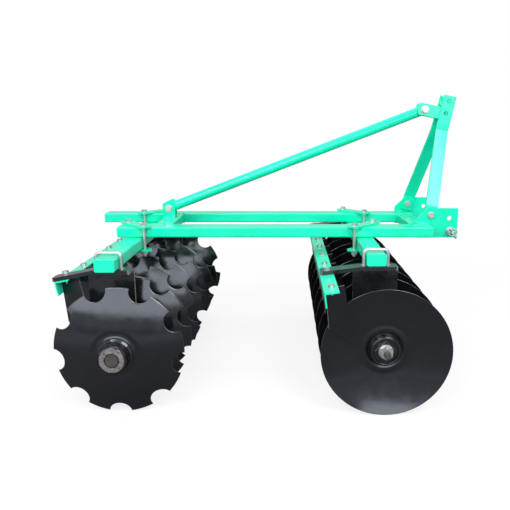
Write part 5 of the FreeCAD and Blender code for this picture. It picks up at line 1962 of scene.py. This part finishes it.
    def end_castings(self) -> None:
        """The bell round the washer, and the cap under the shaft's head."""
        bore = self.casting_bore
        bell = [(bore, 0), (60.5 * MM, 0), (62 * MM, 1.5 * MM), (61.6 * MM, 4 * MM), (55.2 * MM, 20 * MM)]
        bell += [(48.7 * MM + 5.2 * MM * math.cos(a), 20.8 * MM + 5.2 * MM * math.sin(a))
                 for a in (math.pi * (k + 0.4) / 8.4 for k in range(8))]
        bell += [(43.5 * MM, 20 * MM), (44 * MM, 17 * MM), (bore, 17 * MM)]
        cap = [(bore, 0), (60.6 * MM, 0), (62 * MM, 1.4 * MM), (62 * MM, 5.4 * MM), (60.6 * MM, 7.4 * MM),
               (54.4 * MM, 11.4 * MM), (53 * MM, 14 * MM)]
        shoulder = 22 * MM
        for k in range(1, 13):
            angle = math.pi / 2 * k / 12
            cap.append((40.5 * MM + 12.5 * MM * math.cos(angle),
                        shoulder + (self.cap - shoulder) * math.sin(angle)))
        floor = self.cap - self.cap_sink
        cap += [(26 * MM, self.cap), (25 * MM, self.cap - MM), (25 * MM, floor), (bore, floor)]
        solid = Solid()
        solid.turned(bell, self.gang.home.matrix(self.gang.at(-self.gang.disc_sheet)), 96, looped=True)
        solid.turned(cap, self.gang.away.matrix(self.gang.at(self.gang.span)), 96, looped=True)
        solid.piece(self.named("bell_and_cap"), self.casting(), self.named("end_castings"),
                    body=self.gang.body)

    def casting(self) -> EndCasting:
        """The finish of this gang's end castings, worn on the cap's face."""
        face = self.gang.at(self.gang.span + self.cap).y
        return EndCasting(self.named("end_casting"), CAST.slot, face=face, way=self.gang.hand)

    def shaft(self) -> None:
        """The square shaft with its thread and its round head."""
        start, stop = -self.thread_from, self.gang.span + self.cap - self.cap_sink
        solid = Solid()
        solid.prism(rectangle(self.shaft_side, self.shaft_side), stop - start,
                    self.gang.away.matrix(self.gang.at(start)))
        solid.thread(self.thread, self.thread_length, self.thread_pitch,
                     self.gang.home.matrix(self.gang.at(start)), 32)
        head = [(22.4 * MM, 0), (22.4 * MM, 4.6 * MM), (21.4 * MM, 5.8 * MM), (19.6 * MM, 6 * MM),
                (18.8 * MM, 5.2 * MM), (10 * MM, 4.9 * MM)]
        solid.turned(head, self.gang.away.matrix(self.gang.at(stop)), 48)
        solid.piece(self.named("square_shaft"), WORN_STEEL, self.named("shaft"), body=self.gang.body)

    def nut_and_washer(self) -> None:
        """The square washer on its corner, a round washer, and the big nut."""
        side, sheet = self.washer_side / 2, self.washer_sheet
        place = self.gang.home.matrix(self.gang.at(-self.washer_at))
        solid, washer = Solid(), Solid()
        square = rounded([(-side, -side), (side, -side), (side, side), (-side, side)], 1.5 * MM, 3)
        on_corner = place @ raised(sheet / 2) @ Matrix.Rotation(math.pi / 4, 4, "Z")
        washer.plate(square, sheet, on_corner, [(0, 0, self.washer_hole)])
        solid.washer(self.round_washer, self.thread + 0.4 * MM, self.round_sheet,
                     place @ raised(sheet))
        solid.hexagon(self.nut_across, self.nut,
                      place @ raised(sheet + self.round_sheet), both=True)
        washer.piece(self.named("square_washer"), WASHER_BLACK, body=self.gang.body, edge=2 * MM,
                     segments=3)
        solid.piece(self.named("shaft_nut"), ZINC, self.named("nut_and_washer"), body=self.gang.body)

    def build(self) -> None:
        """Make the gang's pieces."""
        for number in range(self.gang.discs):
            self.disc(number)
        self.spools()
        self.end_castings()
        self.shaft()
        self.nut_and_washer()


# ---- studio

@dataclass
class Studio:
    """The pale floor, the soft lights and the camera."""

    floor_size: float = 60.0
    floor_seen: Colour = (0.9, 0.9, 0.9)
    # Floor tone near the harrow to rays other than the camera's, darkened as painted shade.
    floor_near_shade: Colour = (0.16, 0.16, 0.165)
    floor_far: Colour = (0.30, 0.30, 0.31)
    sky: float = 0.66
    sky_mirrored: float = 0.5
    camera_at: tuple[float, float, float] = (0.058, -2.5752, 0.9977)
    camera_down: float = 12.57
    focal: float = 42.44470588
    sensor: float = 36
    shift: Spot = (-0.0596, 0.0116)

    def floor(self) -> None:
        """A flat floor that stays white to the camera far off, and keeps the shadow near the harrow."""
        half = self.floor_size / 2
        corners = [(-half, -half, 0), (half, -half, 0), (half, half, 0), (-half, half, 0)]
        data = bpy.data.meshes.new("floor")
        data.from_pydata(corners, [], [(0, 1, 2, 3)])
        thing = placed("floor", data)
        made = bpy.data.materials.new("studio_floor")
        made.use_nodes = True
        tree = Tree(made.node_tree)
        made.node_tree.nodes.remove(made.node_tree.nodes["Principled BSDF"])
        path = tree.add("ShaderNodeLightPath")
        place = tree.add("ShaderNodeTexCoord").outputs["Object"]
        far = tree.add("ShaderNodeVectorMath", {"Vector": place}, operation="LENGTH").outputs["Value"]
        # To other rays the floor is darker near the harrow: painted shade of the ground round it, seen in
        # reflections and bounced light.
        unseen = tree.mix(tree.ramp(far, 1.6, 2.4), (*self.floor_near_shade, 1), (*self.floor_far, 1))
        tone = tree.mix(path.outputs["Is Camera Ray"], unseen, (*self.floor_seen, 1))
        matte = tree.add("ShaderNodeBsdfDiffuse", {"Color": tone})
        glow = tree.add("ShaderNodeEmission", {"Color": (1, 1, 1, 1), "Strength": 1.0})
        share = tree.maths("MULTIPLY", path.outputs["Is Camera Ray"], tree.ramp(far, 1.0, 3.0, 0.78, 1.0))
        both = tree.add("ShaderNodeMixShader", {"Fac": share})
        tree.tree.links.new(matte.outputs[0], both.inputs[1])
        tree.tree.links.new(glow.outputs[0], both.inputs[2])
        tree.feed(made.node_tree.nodes["Material Output"].inputs["Surface"], both.outputs[0])
        data.materials.append(made)

    def lamp(self, name: str, at: Sequence[float], size: tuple[float, float], bright: float,
             aim: Sequence[float] = (0, 0, 0.3)) -> None:
        """A soft rectangular lamp, hidden from the camera.

        Args:
            name: its name.
            at: where it hangs.
            size: its width and height.
            bright: how bright its face is, where 1 is white.
            aim: the point it faces.
        """
        data = bpy.data.lights.new(name, "AREA")
        data.shape = "RECTANGLE"
        data.size, data.size_y = size
        data.energy = bright * math.pi * size[0] * size[1]
        thing = placed(name, data)
        thing.location = at
        thing.rotation_euler = (Vector(aim) - Vector(at)).to_track_quat("-Z", "Y").to_euler()
        thing.visible_camera = False

    def world(self) -> None:
        """A plain white surround for the camera, and a soft one for the light."""
        made = bpy.data.worlds.new("studio")
        made.use_nodes = True
        bpy.context.scene.world = made
        tree = Tree(made.node_tree)
        path = tree.add("ShaderNodeLightPath")
        seen = tree.maths("MAXIMUM", path.outputs["Is Camera Ray"], path.outputs["Is Transmission Ray"])
        mirrored = tree.maths("MULTIPLY", path.outputs["Is Glossy Ray"], self.sky_mirrored - self.sky)
        direct = tree.maths("MULTIPLY", seen, 1 - self.sky)
        strength = tree.maths("ADD", tree.maths("ADD", direct, mirrored), self.sky)
        back = made.node_tree.nodes["Background"]
        back.inputs["Color"].default_value = (1, 1, 1, 1)
        tree.feed(back.inputs["Strength"], strength)

    def camera(self) -> None:
        """The camera, a little above the harrow and level."""
        data = bpy.data.cameras.new("camera")
        data.lens = self.focal
        data.sensor_width = self.sensor
        data.shift_x, data.shift_y = self.shift
        thing = placed("camera", data)
        thing.location = self.camera_at
        thing.rotation_euler = (math.radians(90 - self.camera_down), 0, 0)
        bpy.context.scene.camera = thing

    def build(self) -> None:
        """Set up the studio."""
        self.floor()
        self.world()
        self.lamp("front softbox", (-1.2, -3.7, 1.75), (7.6, 1.5), 2.8)
        self.lamp("left softbox", (-1.5, -3.1, 3.3), (2.4, 1.0), 6.5)
        self.lamp("right softbox", (1.9, -3.2, 3.35), (1.8, 2.3), 7.0)
        self.lamp("back softbox", (0.0, 3.8, 3.2), (6.0, 1.8), 0.3)
        self.lamp("top softbox", (-0.4, 0.4, 4.2), (3.0, 3.0), 1.2)
        self.camera()
        bpy.context.scene.view_settings.view_transform = "Standard"


def clear_defaults() -> None:
    """Remove whatever the scene held before the frame."""
    kept = set(frame["nodes"].values()) | set(frame["bodies"].values())
    for thing in list(bpy.data.objects):
        if thing not in kept:
            bpy.data.objects.remove(thing)


def main() -> None:
    """Build the harrow's looks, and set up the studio."""
    logging.basicConfig(level=logging.INFO, format="%(message)s", stream=sys.stdout)
    clear_defaults()
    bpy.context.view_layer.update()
    MainFrame().build()
    hitch = Hitch()
    hitch.build()
    Brace().build(hitch)
    Clamps().build()
    front, rear = Gang("front", 1), Gang("rear", -1)
    GangCarrier(front, droop=18 * MM, bar_back=229 * MM, yaw=26, blade_taper=11 * MM).build()
    GangCarrier(rear, droop=27 * MM, bar_back=211 * MM, yaw=15, blade_taper=5 * MM).build()
    DiscGang(front).build()
    DiscGang(rear, notches=9).build()
    Studio().build()


if __name__ == "__main__":
    main()
